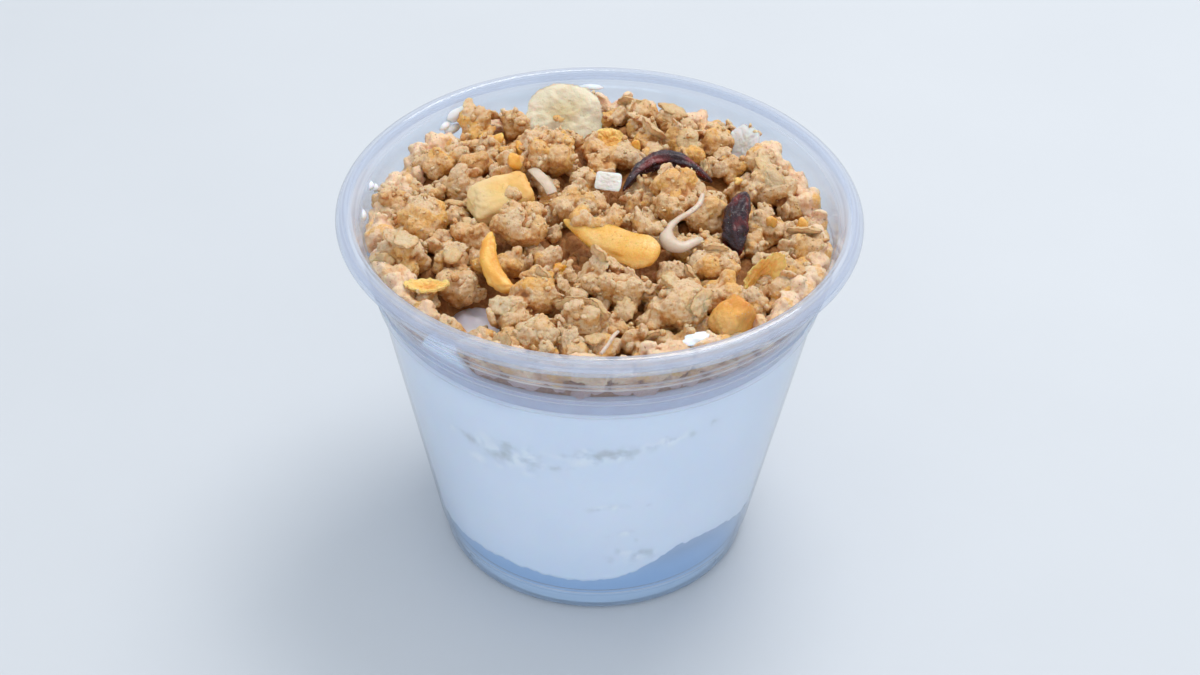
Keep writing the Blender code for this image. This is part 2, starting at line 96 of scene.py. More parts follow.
# %% Sockets
class Value:
    """An output socket of a finish. Python arithmetic on it adds Math nodes."""

    def __init__(self, finish, socket):
        self.finish = finish
        self.socket = socket

    def math(self, operation, *terms):
        """Math node of an operation on some terms."""
        return self.finish.node("Math", {"operation": operation}, terms)

    def __add__(self, other):
        return self.math('ADD', self, other)

    def __radd__(self, other):
        return self.math('ADD', other, self)

    def __sub__(self, other):
        return self.math('SUBTRACT', self, other)

    def __rsub__(self, other):
        return self.math('SUBTRACT', other, self)

    def __mul__(self, other):
        return self.math('MULTIPLY', self, other)

    def __rmul__(self, other):
        return self.math('MULTIPLY', other, self)

    def __pow__(self, power):
        return self.math('POWER', self, power)

    def between(self, low, high, to_low=0.0, to_high=1.0):
        """Smooth step: to_low below low, to_high above high."""
        return self.finish.node("MapRange", {"interpolation_type": 'SMOOTHSTEP'},
                                (self, low, high, to_low, to_high))


# %% Finishes
class Finish:
    """One material, built node by node around its Principled shader."""

    def __init__(self, name):
        self.material = bpy.data.materials.new(name)
        self.material.use_nodes = True
        self.nodes = self.material.node_tree.nodes
        self.links = self.material.node_tree.links
        self.shader = self.nodes["Principled BSDF"]
        self.output = self.nodes["Material Output"]
        self.place = self.node("TexCoord", out="Object")

    def plug(self, socket, value):
        """Link a wrapped socket, or set a plain number or colour."""
        if isinstance(value, Value):
            self.links.new(value.socket, socket)
        else:
            socket.default_value = value

    def node(self, kind, settings=None, inputs=(), out=0):
        """Add a node of a kind: first its settings, then its sockets' values or links."""
        made = self.nodes.new("ShaderNode" + kind)
        settings = dict(settings or {})
        stops = settings.pop("stops", None)
        for name, value in settings.items():
            setattr(made, name, value)
        if stops:
            ramp = made.color_ramp
            while len(ramp.elements) < len(stops):
                ramp.elements.new(0.5)
            for element, (position, colour) in zip(ramp.elements, stops):
                element.position = position
                element.color = (*colour, 1.0)
        pairs = inputs.items() if isinstance(inputs, dict) else enumerate(inputs)
        for name, value in pairs:
            self.plug(made.inputs[name], value)
        return Value(self, made.outputs[out])

    def grain(self, size, detail=2.0, roughness=0.5, place=None):
        """Soft noise from 0 to 1 whose blotches are about size metres wide."""
        return self.node("TexNoise", None, {
            "Vector": place or self.place, "Scale": 1 / size,
            "Detail": detail, "Roughness": roughness})

    def cells(self, size):
        """Distance from the middle of the nearest of many cells about size metres wide."""
        return self.node("TexVoronoi", None, {"Vector": self.place, "Scale": 1 / size})

    def reads(self, name):
        """Number that each point of the mesh carries under a name."""
        return self.node("Attribute", {"attribute_name": name}, out="Fac")

    def along(self, axis):
        """Place along X, Y or Z in metres."""
        return self.node("SeparateXYZ", None, (self.place,), axis)

    def layer(self, share, first, second):
        """Mix two shaders; share 1 gives the second."""
        return self.node("MixShader", None, (share, first, second))

    def blend(self, share, first, second):
        """Mix two colours; share 1 gives the second."""
        first, second = ((*c, 1.0) if isinstance(c, tuple) else c for c in (first, second))
        return self.node("Mix", {"data_type": 'RGBA'},
                         {0: share, 6: first, 7: second}, 2)

    def ramp(self, value, *stops):
        """Colour ramp through (position, colour) stops."""
        return self.node("ValToRGB", {"stops": stops}, (value,))

    def bump(self, height, depth):
        """Normal for a height from 0 to 1 that stands for depth metres."""
        return self.node("Bump", None, {"Height": height, "Distance": depth})

    def wear(self, **sockets):
        """Set sockets of the Principled shader, named with _ for a space."""
        for name, value in sockets.items():
            socket = self.shader.inputs[name.replace("_", " ")]
            self.plug(socket, (*value, 1.0) if isinstance(value, tuple) and len(value) == 3
                      and socket.type == 'RGBA' else value)
        return self


# %% [markdown]
# ## Pieces
#
# A piece is a mesh that rides on the CAD body, stands for one or more CAD nodes and wears
# the finishes it is given. One helper makes all of them, so none is forgotten.


# %% Making a piece
def dress(name, mesh, finishes, slot, *nodes):
    """Object for a mesh that rides on the root body and replaces CAD nodes."""
    piece = bpy.data.objects.new(name, mesh)
    bpy.context.scene.collection.objects.link(piece)
    for finish in finishes:
        mesh.materials.append(finish.material)
    mesh.shade_smooth()
    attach(piece, "root")
    if nodes:
        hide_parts(*nodes)
    print(f"{name}: {len(mesh.polygons)} faces")
    return piece


def mesh_of(name, points, faces):
    """Mesh from points and faces, each face's corners counted round it as seen from outside."""
    mesh = bpy.data.meshes.new(name)
    mesh.from_pydata([tuple(point) for point in points], [], faces)
    return mesh


def tinge(mesh, values, name="tone"):
    """Give each point of a mesh a number from 0 to 1, which its finish reads."""
    attribute = mesh.attributes.new(name, 'FLOAT', 'POINT')
    attribute.data.foreach_set("value", np.asarray(values, np.float32))


def wobble(*place):
    """Smooth noise from about -1 to 1 at a place."""
    return noise.noise(Vector(place))


def circle(steps):
    """Cosine and sine of equal steps round a circle."""
    return [(math.cos(TAU * step / steps), math.sin(TAU * step / steps))
            for step in range(steps)]


def tube_faces(rows, columns, first=0):
    """Quads between rows of points that close on themselves."""
    return [(first + row * columns + column, first + row * columns + (column + 1) % columns,
             first + (row + 1) * columns + (column + 1) % columns,
             first + (row + 1) * columns + column)
            for row in range(rows - 1) for column in range(columns)]


# %% [markdown]
# ## Light and floor
#
# The photograph has soft daylight from above with a cool sky in it. An even pale sky
# gives most of it, one panel above, behind and to the right of the cup draws the bright
# lines on the lip, and a weaker one fills the front. The floor is pale, cool and plain,
# because the clear cup shows it.


# %% Light
def panel(name, place, width, watts, colour):
    """Square light that faces the cup."""
    light = bpy.data.lights.new(name, 'AREA')
    light.size = width
    light.energy = watts
    light.color = colour
    lamp = bpy.data.objects.new(name, light)
    lamp.location = place
    aim = Vector((0, 0, 0.05)) - Vector(place)
    lamp.rotation_euler = aim.to_track_quat('-Z', 'Y').to_euler()
    bpy.context.scene.collection.objects.link(lamp)


panel("sky_panel", (0.16, 0.22, 0.62), 0.30, 2.2, (1.0, 0.98, 0.95))
panel("fill_panel", (-0.10, -0.80, 0.14), 0.60, 1.5, (0.96, 0.98, 1.0))

world = bpy.data.worlds.new("sky")
world.use_nodes = True
sky = world.node_tree.nodes["Background"]
sky.inputs["Color"].default_value = (0.86, 0.93, 1.0, 1.0)
sky.inputs["Strength"].default_value = 0.96
bpy.context.scene.world = world
bpy.context.scene.view_settings.view_transform = 'Standard'
bpy.context.scene.cycles.use_denoising = True
bpy.context.scene.cycles.transparent_max_bounces = 16

# %% Floor
FLOOR_HALF = 2.5
UNDER_FOOT = 0.00005
floor_finish = Finish("pale_floor")
fleck = floor_finish.grain(0.05, 3)
floor_finish.wear(Base_Color=floor_finish.blend(fleck, (0.56, 0.575, 0.60), (0.59, 0.605, 0.63)),
                  Roughness=0.7)
floor_mesh = mesh_of("floor", [(x * FLOOR_HALF, y * FLOOR_HALF, -UNDER_FOOT)
                               for x, y in ((-1, -1), (1, -1), (1, 1), (-1, 1))],
                     [(0, 1, 2, 3)])
floor = bpy.data.objects.new("floor", floor_mesh)
floor_mesh.materials.append(floor_finish.material)
bpy.context.scene.collection.objects.link(floor)

# %% [markdown]
# ## The cup's sheet
#
# The real cup is one sheet of thin plastic: it folds over at the lip, has a ridge that
# holds a lid, steps at the shoulder, and doubles back under the foot. A turned line is the
# natural way to make it. The line runs along the middle of the sheet, its corners are
# rounded, and it is offset to both sides, so that the sheet has two faces as real plastic
# does. The outside and the inside get a material each.

# %% The cup's measures
WALL = 0.0007
FOOT_RADIUS = 0.0289
WALL_SLOPE = 0.2003
STEP_HEIGHT = 0.0555
STEP_OUT = 0.0005
SHOULDER_HEIGHT = 0.0594
RIDGE_HEIGHT = 0.0636
NECK_TOP = 0.0693
LIP_CENTRE = Vector((0.0455, 0.0708))
LIP_HALF = (0.00145, 0.0008)
LIP_TILT = math.radians(40)
LIP_SWEEP = (math.radians(-80), math.radians(190))
STEP_RAMP = 0.0003
SKIRT_HEIGHT = 0.0050
SKIRT_STEP = 0.00025
FOOT_CORNER = 0.0009
FOOT_FLAT = 0.0012
FLOOR_RADIUS = 0.0255
FLOOR_HEIGHT = 0.0047
FLOOR_CROWN = 0.0004


def outer_radius(height):
    """Outer radius of the cup's side, with its step and its skirt."""
    radius = FOOT_RADIUS + WALL_SLOPE * height
    if height > STEP_HEIGHT:
        radius += STEP_OUT
    if height < SKIRT_HEIGHT:
        radius -= SKIRT_STEP
    return radius


def inner_radius(height):
    """Inner face of the wall, without the step at the shoulder."""
    return FOOT_RADIUS + WALL_SLOPE * height - WALL


# %% The line of the sheet
def lip_line(steps=22):
    """Middle of the sheet round the lip, from its turned-in edge to the neck."""
    along = Vector((math.cos(LIP_TILT), -math.sin(LIP_TILT)))
    across = Vector((math.sin(LIP_TILT), math.cos(LIP_TILT)))
    line = []
    for index in range(steps + 1):
        angle = LIP_SWEEP[0] + (LIP_SWEEP[1] - LIP_SWEEP[0]) * index / steps
        line.append(LIP_CENTRE + along * LIP_HALF[0] * math.cos(angle)
                    + across * LIP_HALF[1] * math.sin(angle))
    return line


def side_line():
    """Middle of the sheet from the neck to the floor's centre."""
    half = WALL / 2
    foot_outer = outer_radius(FOOT_CORNER) - half
    foot_inner = foot_outer - FOOT_CORNER - FOOT_FLAT

    def side(height):
        """Middle of the sheet on the wall."""
        return Vector((outer_radius(height) - half, height))

    return [
        side(NECK_TOP), side(RIDGE_HEIGHT), side(SHOULDER_HEIGHT),
        side(STEP_HEIGHT + STEP_RAMP), side(STEP_HEIGHT - STEP_RAMP),
        side(SKIRT_HEIGHT + STEP_RAMP), side(SKIRT_HEIGHT - STEP_RAMP),
        side(FOOT_CORNER), Vector((foot_outer - FOOT_CORNER * 0.3, half + FOOT_CORNER * 0.3)),
        Vector((foot_outer - FOOT_CORNER, half)), Vector((foot_inner, half)),
        Vector((foot_inner - FOOT_CORNER * 0.4, half + FOOT_CORNER)),
        Vector((FLOOR_RADIUS + FOOT_CORNER * 0.4, FLOOR_HEIGHT - FOOT_CORNER)),
        Vector((FLOOR_RADIUS - FOOT_CORNER, FLOOR_HEIGHT)),
        Vector((0.0, FLOOR_HEIGHT + FLOOR_CROWN)),
    ]


def soften(line, reach, steps=4):
    """Round each corner of a line by a short curve that starts within reach of it."""
    soft = [line[0]]
    for before, corner, after in zip(line, line[1:], line[2:]):
        start = corner + (before - corner) * min(0.5, reach / (before - corner).length)
        end = corner + (after - corner) * min(0.5, reach / (after - corner).length)
        for index in range(steps + 1):
            t = index / steps
            soft.append(start.lerp(corner, t).lerp(corner.lerp(end, t), t))
    return soft + [line[-1]]


def offset(line, distance):
    """Line moved sideways, to its left for a positive distance."""
    moved = []
    for index, point in enumerate(line):
        along = (line[min(index + 1, len(line) - 1)] - line[max(index - 1, 0)]).normalized()
        moved.append(point + Vector((-along.y, along.x)) * distance)
    return moved


# %% Turn the cup
CUP_STEPS = 192


def turn(line, steps):
    """Points of a line of (radius, height) turned round Z."""
    return [(radius * cos, radius * sin, height)
            for radius, height in line for cos, sin in circle(steps)]


# Two fine ledges of the neck: their heights and how far they stand out.
BEADS = ((RIDGE_HEIGHT, 0.00045), (SHOULDER_HEIGHT + 0.0004, 0.00034))
BEAD_SHELF = 0.00012
BEAD_FADE = 0.0011
BEAD_ZONE = (0.0560, 0.0648)
CORNER_REACH = 0.00045
middle = lip_line()[:-1] + soften([lip_line()[-1]] + side_line(), CORNER_REACH)


def beaded(point):
    """Outer face pushed out below each bead's small shelf, fading downward."""
    push = 0.0
    for height, proud in BEADS:
        below = height - point.y
        if -BEAD_SHELF < below < BEAD_FADE * 4 and point.x > FOOT_RADIUS:
            push += proud * min(1.0, (below + BEAD_SHELF) / BEAD_SHELF / 2) \
                * math.exp(-max(0.0, below) / BEAD_FADE)
    return Vector((point.x + push, point.y))


def subdivided(line, low, high, longest):
    """Line with extra points between two heights, so that small beads get their shape."""
    fine = [line[0]]
    for start, end in zip(line, line[1:]):
        pieces = 1
        if low < max(start.y, end.y) and min(start.y, end.y) < high and start.x > FOOT_RADIUS:
            pieces = max(1, math.ceil((end - start).length / longest))
        fine += [start.lerp(end, index / pieces) for index in range(1, pieces + 1)]
    return fine


outside = offset(subdivided(middle, *BEAD_ZONE, BEAD_SHELF), WALL / 2)
outside = [beaded(point) for point in outside]
inside = offset(middle, -WALL / 2)
rim = [(outside[0] + inside[0]) / 2 + (middle[0] - middle[1]).normalized() * WALL * 0.4]
loop = outside[::-1] + rim + inside
cup_mesh = mesh_of("cup_sheet", turn([(max(p.x, 0.0), p.y) for p in loop], CUP_STEPS),
                   tube_faces(len(loop), CUP_STEPS))
inner_faces = (len(outside) + 0.5) * CUP_STEPS
for polygon in cup_mesh.polygons:
    polygon.material_index = 1 if polygon.index >= inner_faces else 0

# %% [markdown]
# ## Cloudy blue plastic
#
# The plastic is clear but faintly blue and a little milky, so the granola shows through
# the neck while the far wall looks pale blue. Glass shaders would need many bounces. The
# sheet is thin and bends nothing, so each face mixes three things: a tinted window, a pale
# haze, and gloss that grows towards grazing angles. Light is also painted into the haze:
# a bright blue glow at the foot, a lighter skirt, and white highlight lines at the folds,
# in rings on the upper sheet and in streaks near the lip.


# %% Plastic
MILKIEST = 0.25
# Heights over which the painted glow at the foot fades out.
FOOT_PAINTED_GLOW = (0.0220, 0.0080)
NECK_CLEAR = ((0.0590, 0.0600), (0.0664, 0.0680))
LIP_CLOUDY = (0.0693, 0.0702)
# Height and half width of each white line painted as a highlight along a fold of the sheet.
FOLD_HIGHLIGHTS = ((RIDGE_HEIGHT - 0.0003, 0.00045), (SHOULDER_HEIGHT, 0.00028), (STEP_HEIGHT, 0.00030),
         (SKIRT_HEIGHT, 0.00040))


def plastic(name, tint, shade, haze, clearer, edge, foot, backlit):
    """Clear sheet whose tint is what it lets through and shade how light its milk is.

    It is milky by haze seen head on, by edge more at grazing angles, by foot more at the
    foot, where a bright blue glow is painted in, and by clearer less at the neck. The share
    backlit of the milk glows through. Its skirt is painted lighter, and white lines of
    painted highlight run along its folds, in rings on its upper part and near the lip.
    """
    finish = Finish(name)
    window = finish.node("BsdfTransparent", None, ((*tint, 1.0),))
    facing = finish.node("LayerWeight", None, (0.5,), "Facing")
    cloud = finish.grain(0.012, 3)
    flow = finish.grain(0.0016, 2)
    x, y, height = (finish.along(axis) for axis in "XYZ")
    round_line = finish.node("CombineXYZ", None, ((x * x + y * y) ** 0.5, 0.0, height))
    streak = finish.grain(0.00050, 2, place=round_line).between(0.42, 0.62)
    low = height.between(FOOT_PAINTED_GLOW[1], FOOT_PAINTED_GLOW[0], 1.0, 0.0)
    skirt = height.between(SKIRT_HEIGHT - 0.0012, SKIRT_HEIGHT, 1.0, 0.0)
    neck = height.between(*NECK_CLEAR[0]) * height.between(*NECK_CLEAR[1], 1.0, 0.0)
    high = height.between(NECK_CLEAR[1][0], NECK_CLEAR[1][1])
    upper = height.between(NECK_CLEAR[0][1], NECK_CLEAR[0][1] + 0.0030)
    ring = finish.grain(0.0018, 2, place=round_line).between(0.44, 0.60)
    # Painted highlights: white lines along the folds, in the colour and in the milk.
    fold = 0.0
    for middle_height, half in FOLD_HIGHLIGHTS:
        away = (height - middle_height) * (1 / half)
        line = 1 - away * away
        fold = line.math('MAXIMUM', line, 0.0) + fold
    milk = finish.blend(cloud, (0.70 * shade, 0.77 * shade, 0.91 * shade),
                        (0.78 * shade, 0.83 * shade, 0.94 * shade))
    lip = height.between(*LIP_CLOUDY)
    milk = finish.blend(upper * 0.45, milk, (0.50, 0.62, 0.83))
    # Painted highlights: pale rings on the sheet above the neck.
    milk = finish.blend(upper * ring * 0.55, milk, (0.95, 0.97, 1.0))
    # Painted glow: at the foot the haze turns bright blue.
    milk = finish.blend(low * 0.85, milk, (0.44, 0.69, 1.0))
    # Painted light: the skirt is lighter, and a little milkier in body below.
    milk = finish.blend(skirt * 0.8, milk, (0.72, 0.87, 1.0))
    milk = finish.blend(lip * 0.7, milk, (0.72, 0.60, 0.62))
    milk = finish.blend(neck * 0.7, milk, (0.88, 0.76, 0.79))
    # Painted highlights: white streaks near the lip.
    milk = finish.blend(high * streak * 0.6, milk, (0.98, 0.98, 1.0))
    milk = finish.blend(fold, milk, (0.97, 0.95, 0.99))
    finish.wear(Base_Color=milk, Roughness=0.28,
                Normal=finish.bump(flow + streak * high * 2.0, 0.00002))
    glow = finish.node("BsdfTranslucent", None, {"Color": (0.72, 0.81, 0.95, 1.0)})
    scatter = finish.layer(backlit, Value(finish, finish.shader.outputs[0]), glow)
    milky = facing ** 2 * edge + haze + cloud * 0.05 - neck * clearer
    # low * foot adds the foot's painted glow to the milk, and fold * 0.42 the painted highlight
    # lines.
    milky = milky.math('MINIMUM', milky, MILKIEST) + low * foot + fold * 0.42 + lip * 0.10
    body = finish.layer(milky + skirt * 0.10, window, scatter)
    gloss = finish.node("BsdfAnisotropic", None, {"Roughness": 0.06})
    shine = facing ** 5 * 0.96 + 0.04
    whole = finish.layer(shine, body, gloss)
    finish.links.new(whole.socket, finish.output.inputs["Surface"])
    return finish


outer_plastic = plastic("cloudy_plastic_outside", (0.90, 0.94, 0.985), 1.0, 0.15, 0.15,
                        0.30, 0.0, 0.5)
# The inside's milk is painted darker than the outside's, 0.82 against 1.0: painted shade.
inner_plastic = plastic("cloudy_plastic_inside", (0.91, 0.95, 0.99), 0.82, 0.14, 0.13,
                        0.25, 0.75, 0.3)
dress("cup_sheet", cup_mesh, [outer_plastic, inner_plastic], "cup_plastic", "cup")

# %% [markdown]
# ## The yogurt
#
# Thick yogurt was spooned in. It clings to the wall, so it has no gap there, except where
# it left flat pockets of air, and it never reached the corner at the foot, where its edge
# is ragged. A turned skin whose radius and height vary round the cup gives all of this in
# one mesh: it reaches just into the wall, dips at each pocket and slopes in at the foot.
# It stands up in the heap's hollow and against the neck, where the photograph shows it.

# %% The yogurt's measures
YOGURT_TOP = 0.0598
YOGURT_SWELL = 0.0006
YOGURT_FLOOR_RADIUS = 0.0225
YOGURT_EDGE = 0.0087
YOGURT_EDGE_RISE = 0.0066
YOGURT_EDGE_AT = math.radians(-56)
YOGURT_EDGE_SPREAD = (math.radians(18), math.radians(38))
YOGURT_EDGE_RIPPLE = 0.0004
YOGURT_STEPS = 288
YOGURT_RIM = 0.0003
INTO_WALL = 0.0002
# Thin spots on the wall: azimuth in degrees, height, half width, half height, tilt.
POCKETS = (
    (-114, 0.0409, 0.0074, 0.0028, -0.04), (-88, 0.0444, 0.0074, 0.0018, 0.16),
    (-70, 0.0466, 0.0046, 0.0010, 0.10), (-85, 0.0300, 0.0028, 0.0008, 0.02),
    (-80, 0.0224, 0.0016, 0.0009, 0.0), (-78, 0.0165, 0.0024, 0.0008, 0.0),
    (-74, 0.0151, 0.0036, 0.0015, 0.05), (-127, 0.0370, 0.0018, 0.0008, 0.1),
    (20, 0.0380, 0.0056, 0.0015, 0.1), (75, 0.0300, 0.0062, 0.0014, -0.1),
    (130, 0.0420, 0.0050, 0.0016, 0.05), (170, 0.0260, 0.0040, 0.0014, 0.1),
)
POCKET_DEPTH = 0.00016


def yogurt_edge(azimuth):
    """Height on the wall of the yogurt's ragged lower edge."""
    turned = (azimuth - YOGURT_EDGE_AT + math.pi) % TAU - math.pi
    spread = YOGURT_EDGE_SPREAD[0] if turned < 0 else YOGURT_EDGE_SPREAD[1]
    rise = YOGURT_EDGE_RISE * math.exp(-(turned / spread) ** 2)
    return YOGURT_EDGE + rise + YOGURT_EDGE_RIPPLE * math.sin(5 * azimuth)


def yogurt_top(x, y):
    """Height of the yogurt's top."""
    wave = math.sin(70 * x + 0.6) + math.cos(60 * y - 0.4)
    return YOGURT_TOP + YOGURT_SWELL * wave / 2


def pocket(azimuth, height):
    """Share from 0 to 1 of a thin spot, where the yogurt stands back from the wall."""
    share = 0.0
    for at, middle_height, half_width, half_height, tilt in POCKETS:
        across = ((azimuth - math.radians(at) + math.pi) % TAU - math.pi) * inner_radius(height)
        up = height - middle_height - across * tilt
        ragged = 1 + 0.9 * wobble(across * 420, height * 420, at)
        out = math.hypot(across / half_width, up / half_height) * ragged
        share = max(share, min(1.0, max(0.0, 1.4 - out)))
    return share


# %% The yogurt's skin
TOP_ROWS = 44
SIDE_ROWS = 76
# Where the yogurt stands up: in the heap's hollow and against the neck, as x, y, radius, rise.
PEEKS = ((-0.0210, -0.0214, 0.0054, 0.0022), (-0.0262, -0.0300, 0.0050, 0.0044))


def peek(x, y):
    """How far the yogurt stands up above its level at a place."""
    return max(rise * math.exp(-(math.hypot(x - at_x, y - at_y) / radius) ** 4)
               for at_x, at_y, radius, rise in PEEKS)


def yogurt_rows(azimuth):
    """Radius and height of the skin from the top's centre round to the floor's centre."""
    cos, sin = math.cos(azimuth), math.sin(azimuth)
    rim_radius = inner_radius(YOGURT_TOP)
    ragged = 0.0008 * wobble(cos * 9, sin * 9, 3) + 0.0006 * wobble(cos * 34, sin * 34, 5)
    edge = yogurt_edge(azimuth) + ragged
    floor_height = FLOOR_HEIGHT + FLOOR_CROWN + WALL / 2 + 0.0001
    rows = []
    for share in np.linspace(0, 0.985, TOP_ROWS):
        x, y = share * rim_radius * cos, share * rim_radius * sin
        wavy = 1 + 0.35 * wobble(x * 450, y * 450, 2)
        rows.append((share * rim_radius, yogurt_top(x, y) + peek(x, y) * wavy))
    top = rows[-1][1]
    for share in np.linspace(0, 1, SIDE_ROWS):
        height = top - YOGURT_RIM + (edge - top + YOGURT_RIM) * share
        back = POCKET_DEPTH * pocket(azimuth, height)
        rows.append((inner_radius(height) + INTO_WALL - back, height))
    for share in (0.04, 0.12, 0.28, 0.5, 0.75, 1.0):
        radius = inner_radius(edge) + (YOGURT_FLOOR_RADIUS - inner_radius(edge)) * share
        sag = 0.0006 * math.sin(share * math.pi)
        rows.append((radius, edge + (floor_height - edge) * share ** 0.75 - sag))
    return rows + [(YOGURT_FLOOR_RADIUS * 0.5, floor_height), (0.0, floor_height)]


columns = [yogurt_rows(TAU * step / YOGURT_STEPS) for step in range(YOGURT_STEPS)]
yogurt_points = [(radius * cos, radius * sin, height) for row in zip(*columns)
                 for (radius, height), (cos, sin) in zip(row, circle(YOGURT_STEPS))]
yogurt_mesh = mesh_of("yogurt", yogurt_points, tube_faces(len(columns[0]), YOGURT_STEPS))
tinge(yogurt_mesh, [pocket(math.atan2(y, x), z) for x, y, z in yogurt_points])
on_wall = np.arange(len(yogurt_points)) // YOGURT_STEPS
tinge(yogurt_mesh, (on_wall >= TOP_ROWS) & (on_wall < TOP_ROWS + SIDE_ROWS), "wall")

# %% Yogurt's finish
white = Finish("plain_yogurt")
curd = white.grain(0.02, 3)
fine = white.grain(0.0030, 3)
air = white.reads("tone")
up = white.along("Z")
wall_side = white.reads("wall")
stepped = up.between(0.0552, 0.0560)
shoulder = stepped * up.between(0.0600, 0.0608, 1.0, 0.0) * wall_side
under_step = (up.between(0.0515, 0.0552) - stepped) * wall_side
cream = white.blend(curd.between(0.3, 0.7), (0.83, 0.86, 0.91), (0.88, 0.90, 0.94))
# Painted shade: away from the wall, on the top, in the hollow and underneath, the yogurt is
# painted darker mauve.
cream = white.blend((1 - wall_side) * 0.8, cream, (0.60, 0.56, 0.62))
# Painted shade: the yogurt behind the shoulder step is painted darker and mauve.
cream = white.blend(shoulder * fine.between(0.2, 0.6, 0.6, 1.0), cream, (0.66, 0.60, 0.66))
# Painted shadow: a soft darker band just below the step.
cream = white.blend(under_step * curd.between(0.4, 0.6) * 0.5, cream, (0.62, 0.64, 0.74))
# In the air pockets: painted grey shade, and painted white highlights in places.
greyed = white.blend(air * fine.between(0.32, 0.52, 1.0, 0.15), cream, (0.56, 0.57, 0.55))
white.wear(Base_Color=white.blend(air * fine.between(0.47, 0.59), greyed, (0.99, 0.98, 0.95)),
           Roughness=fine.between(0.3, 0.7, 0.34, 0.46), Subsurface_Weight=0.25,
           Subsurface_Scale=0.0015, Normal=white.bump(fine, 0.00012))
dress("yogurt_fill", yogurt_mesh, [white], "yogurt", "yogurt")

# %% [markdown]
# ## The heap's core
#
# Under the clusters the granola is dense and dark, because little light gets in. The core
# is a round sheet of small lumps, raised where the CAD heap is, that closes every gap
# between the clusters. It dips where the yogurt shows.

# %% The heap's measures
HEAP_RADIUS = 0.0400
CORE_EDGE_TOP = 0.0630
CORE_RISE = 0.0036
HEAP_SHIFT = -0.0040
BACK_RISE = 0.0026
BACK_FROM = 0.0040
BACK_OVER = 0.0220
HOLLOW_PLACE = (-0.0211, -0.0216)
HOLLOW_RADIUS = 0.0056
HOLLOW_DEPTH = 0.0066
CORE_LEAST = 0.0006
CORE_BACK = 0.0007
GAP = 0.0003


def core_top(x, y):
    """Height of the bare core under the clusters."""
    out = (x * x + (y - HEAP_SHIFT) ** 2) / HEAP_RADIUS ** 2
    height = CORE_EDGE_TOP + CORE_RISE * (1 - out)
    share = min(1.0, max(0.0, (y - BACK_FROM) / BACK_OVER))
    height += BACK_RISE * share * share * (3 - 2 * share)
    apart = math.hypot(x - HOLLOW_PLACE[0], y - HOLLOW_PLACE[1]) / HOLLOW_RADIUS
    height -= HOLLOW_DEPTH * math.exp(-apart * apart)
    return max(height, yogurt_top(x, y) + GAP + CORE_LEAST)


def bumps(point, size):
    """Rounded lumps about size metres wide, from 0 between them to 1 on their tops."""
    near = noise.voronoi(Vector(point) / size)[0]
    return max(0.0, 1 - near[0] * near[0] * 1.6) * min(1.0, (near[1] - near[0]) * 5)


# %% Core
CORE_RINGS, CORE_STEPS = 90, 240
CORE_LUMP = (0.0018, 0.0030)
core_points = []
for ring in range(CORE_RINGS):
    radius = ring / (CORE_RINGS - 1) * (inner_radius(CORE_EDGE_TOP) - CORE_BACK)
    for cos, sin in circle(CORE_STEPS):
        x, y = radius * cos, radius * sin
        rise = CORE_LUMP[0] * (bumps((x, y, 0.3), CORE_LUMP[1]) - 2 / 3)
        core_points.append((x, y, max(core_top(x, y) + rise, yogurt_top(x, y) + 0.0002)))
radius = inner_radius(YOGURT_TOP) - CORE_BACK
for cos, sin in circle(CORE_STEPS):
    x, y = radius * cos, radius * sin
    core_points.append((x, y, yogurt_top(x, y) - 0.0004))
core_mesh = mesh_of("granola_core", core_points, tube_faces(CORE_RINGS + 1, CORE_STEPS))


def toasted(name, pale, tan, brown, damp_and_shade=0.0):
    """Granola's finish: mealy, glazed in places, with painted light on top and painted shade in
    hollows.
    """
    finish = Finish(name)
    tone, hollow, honey = (finish.reads(name) for name in ("tone", "hollow", "honey"))
    patch = finish.grain(0.0028, 3)
    crumb = finish.grain(0.00050, 4, 0.7)
    bran = finish.grain(0.0006, 1)
    cell = finish.cells(0.00080)
    dome = 1 - cell * cell * 1.6
    # Painted light: faces that point up are painted paler, as if lit from above.
    normal = finish.node("NewGeometry", out="Normal")
    upward = finish.node("SeparateXYZ", None, (normal,), "Z").between(-0.3, 0.9)
    shades = finish.ramp(patch * 0.36 + tone * 0.34 + upward * 0.30,
                         (0.26, brown), (0.46, tan), (0.74, pale))
    glazed = finish.blend(honey.between(0.25, 0.85) * patch.between(0.36, 0.54) * 0.85, shades,
                          (0.84, 0.44, 0.085))
    # Painted shade: the hollows are painted brown, their deepest parts near black.
    hollow_shaded = finish.blend(hollow.between(0.46, 0.78) * 0.9, glazed, brown)
    deep = finish.blend(hollow.between(0.76, 0.98) * 0.85, hollow_shaded, (0.24, 0.065, 0.008))
    dusted = finish.blend(crumb.between(0.50, 0.62) * hollow.between(0.74, 0.46) * 0.55, deep,
                          pale)
    pitted = finish.blend(crumb.between(0.48, 0.36) * 0.50, dusted, brown)
    coloured = finish.blend(bran.between(0.70, 0.75) * 0.6, pitted, (0.24, 0.085, 0.022))
    # Below the yogurt's level the lumps are painted darker mauve: partly a film of yogurt,
    # partly painted shade.
    if damp_and_shade:
        wet_and_shaded = finish.along("Z").between(0.0616, 0.0626, 1.0, 0.0)
        coloured = finish.blend(wet_and_shaded * damp_and_shade, coloured, (0.52, 0.33, 0.31))
    finish.wear(Base_Color=coloured, Roughness=patch.between(0.35, 0.65, 0.42, 0.72),
                Subsurface_Weight=0.45, Subsurface_Scale=0.0011,
                Subsurface_Radius=(1.0, 0.45, 0.20),
                Normal=finish.bump(crumb * 0.85 + dome * 0.15, 0.00048))
    return finish


core_finish = toasted("granola_shade", (0.50, 0.24, 0.070), (0.40, 0.16, 0.038),
                      (0.27, 0.085, 0.014))
core = dress("granola_core", core_mesh, [core_finish], "granola", "granola")

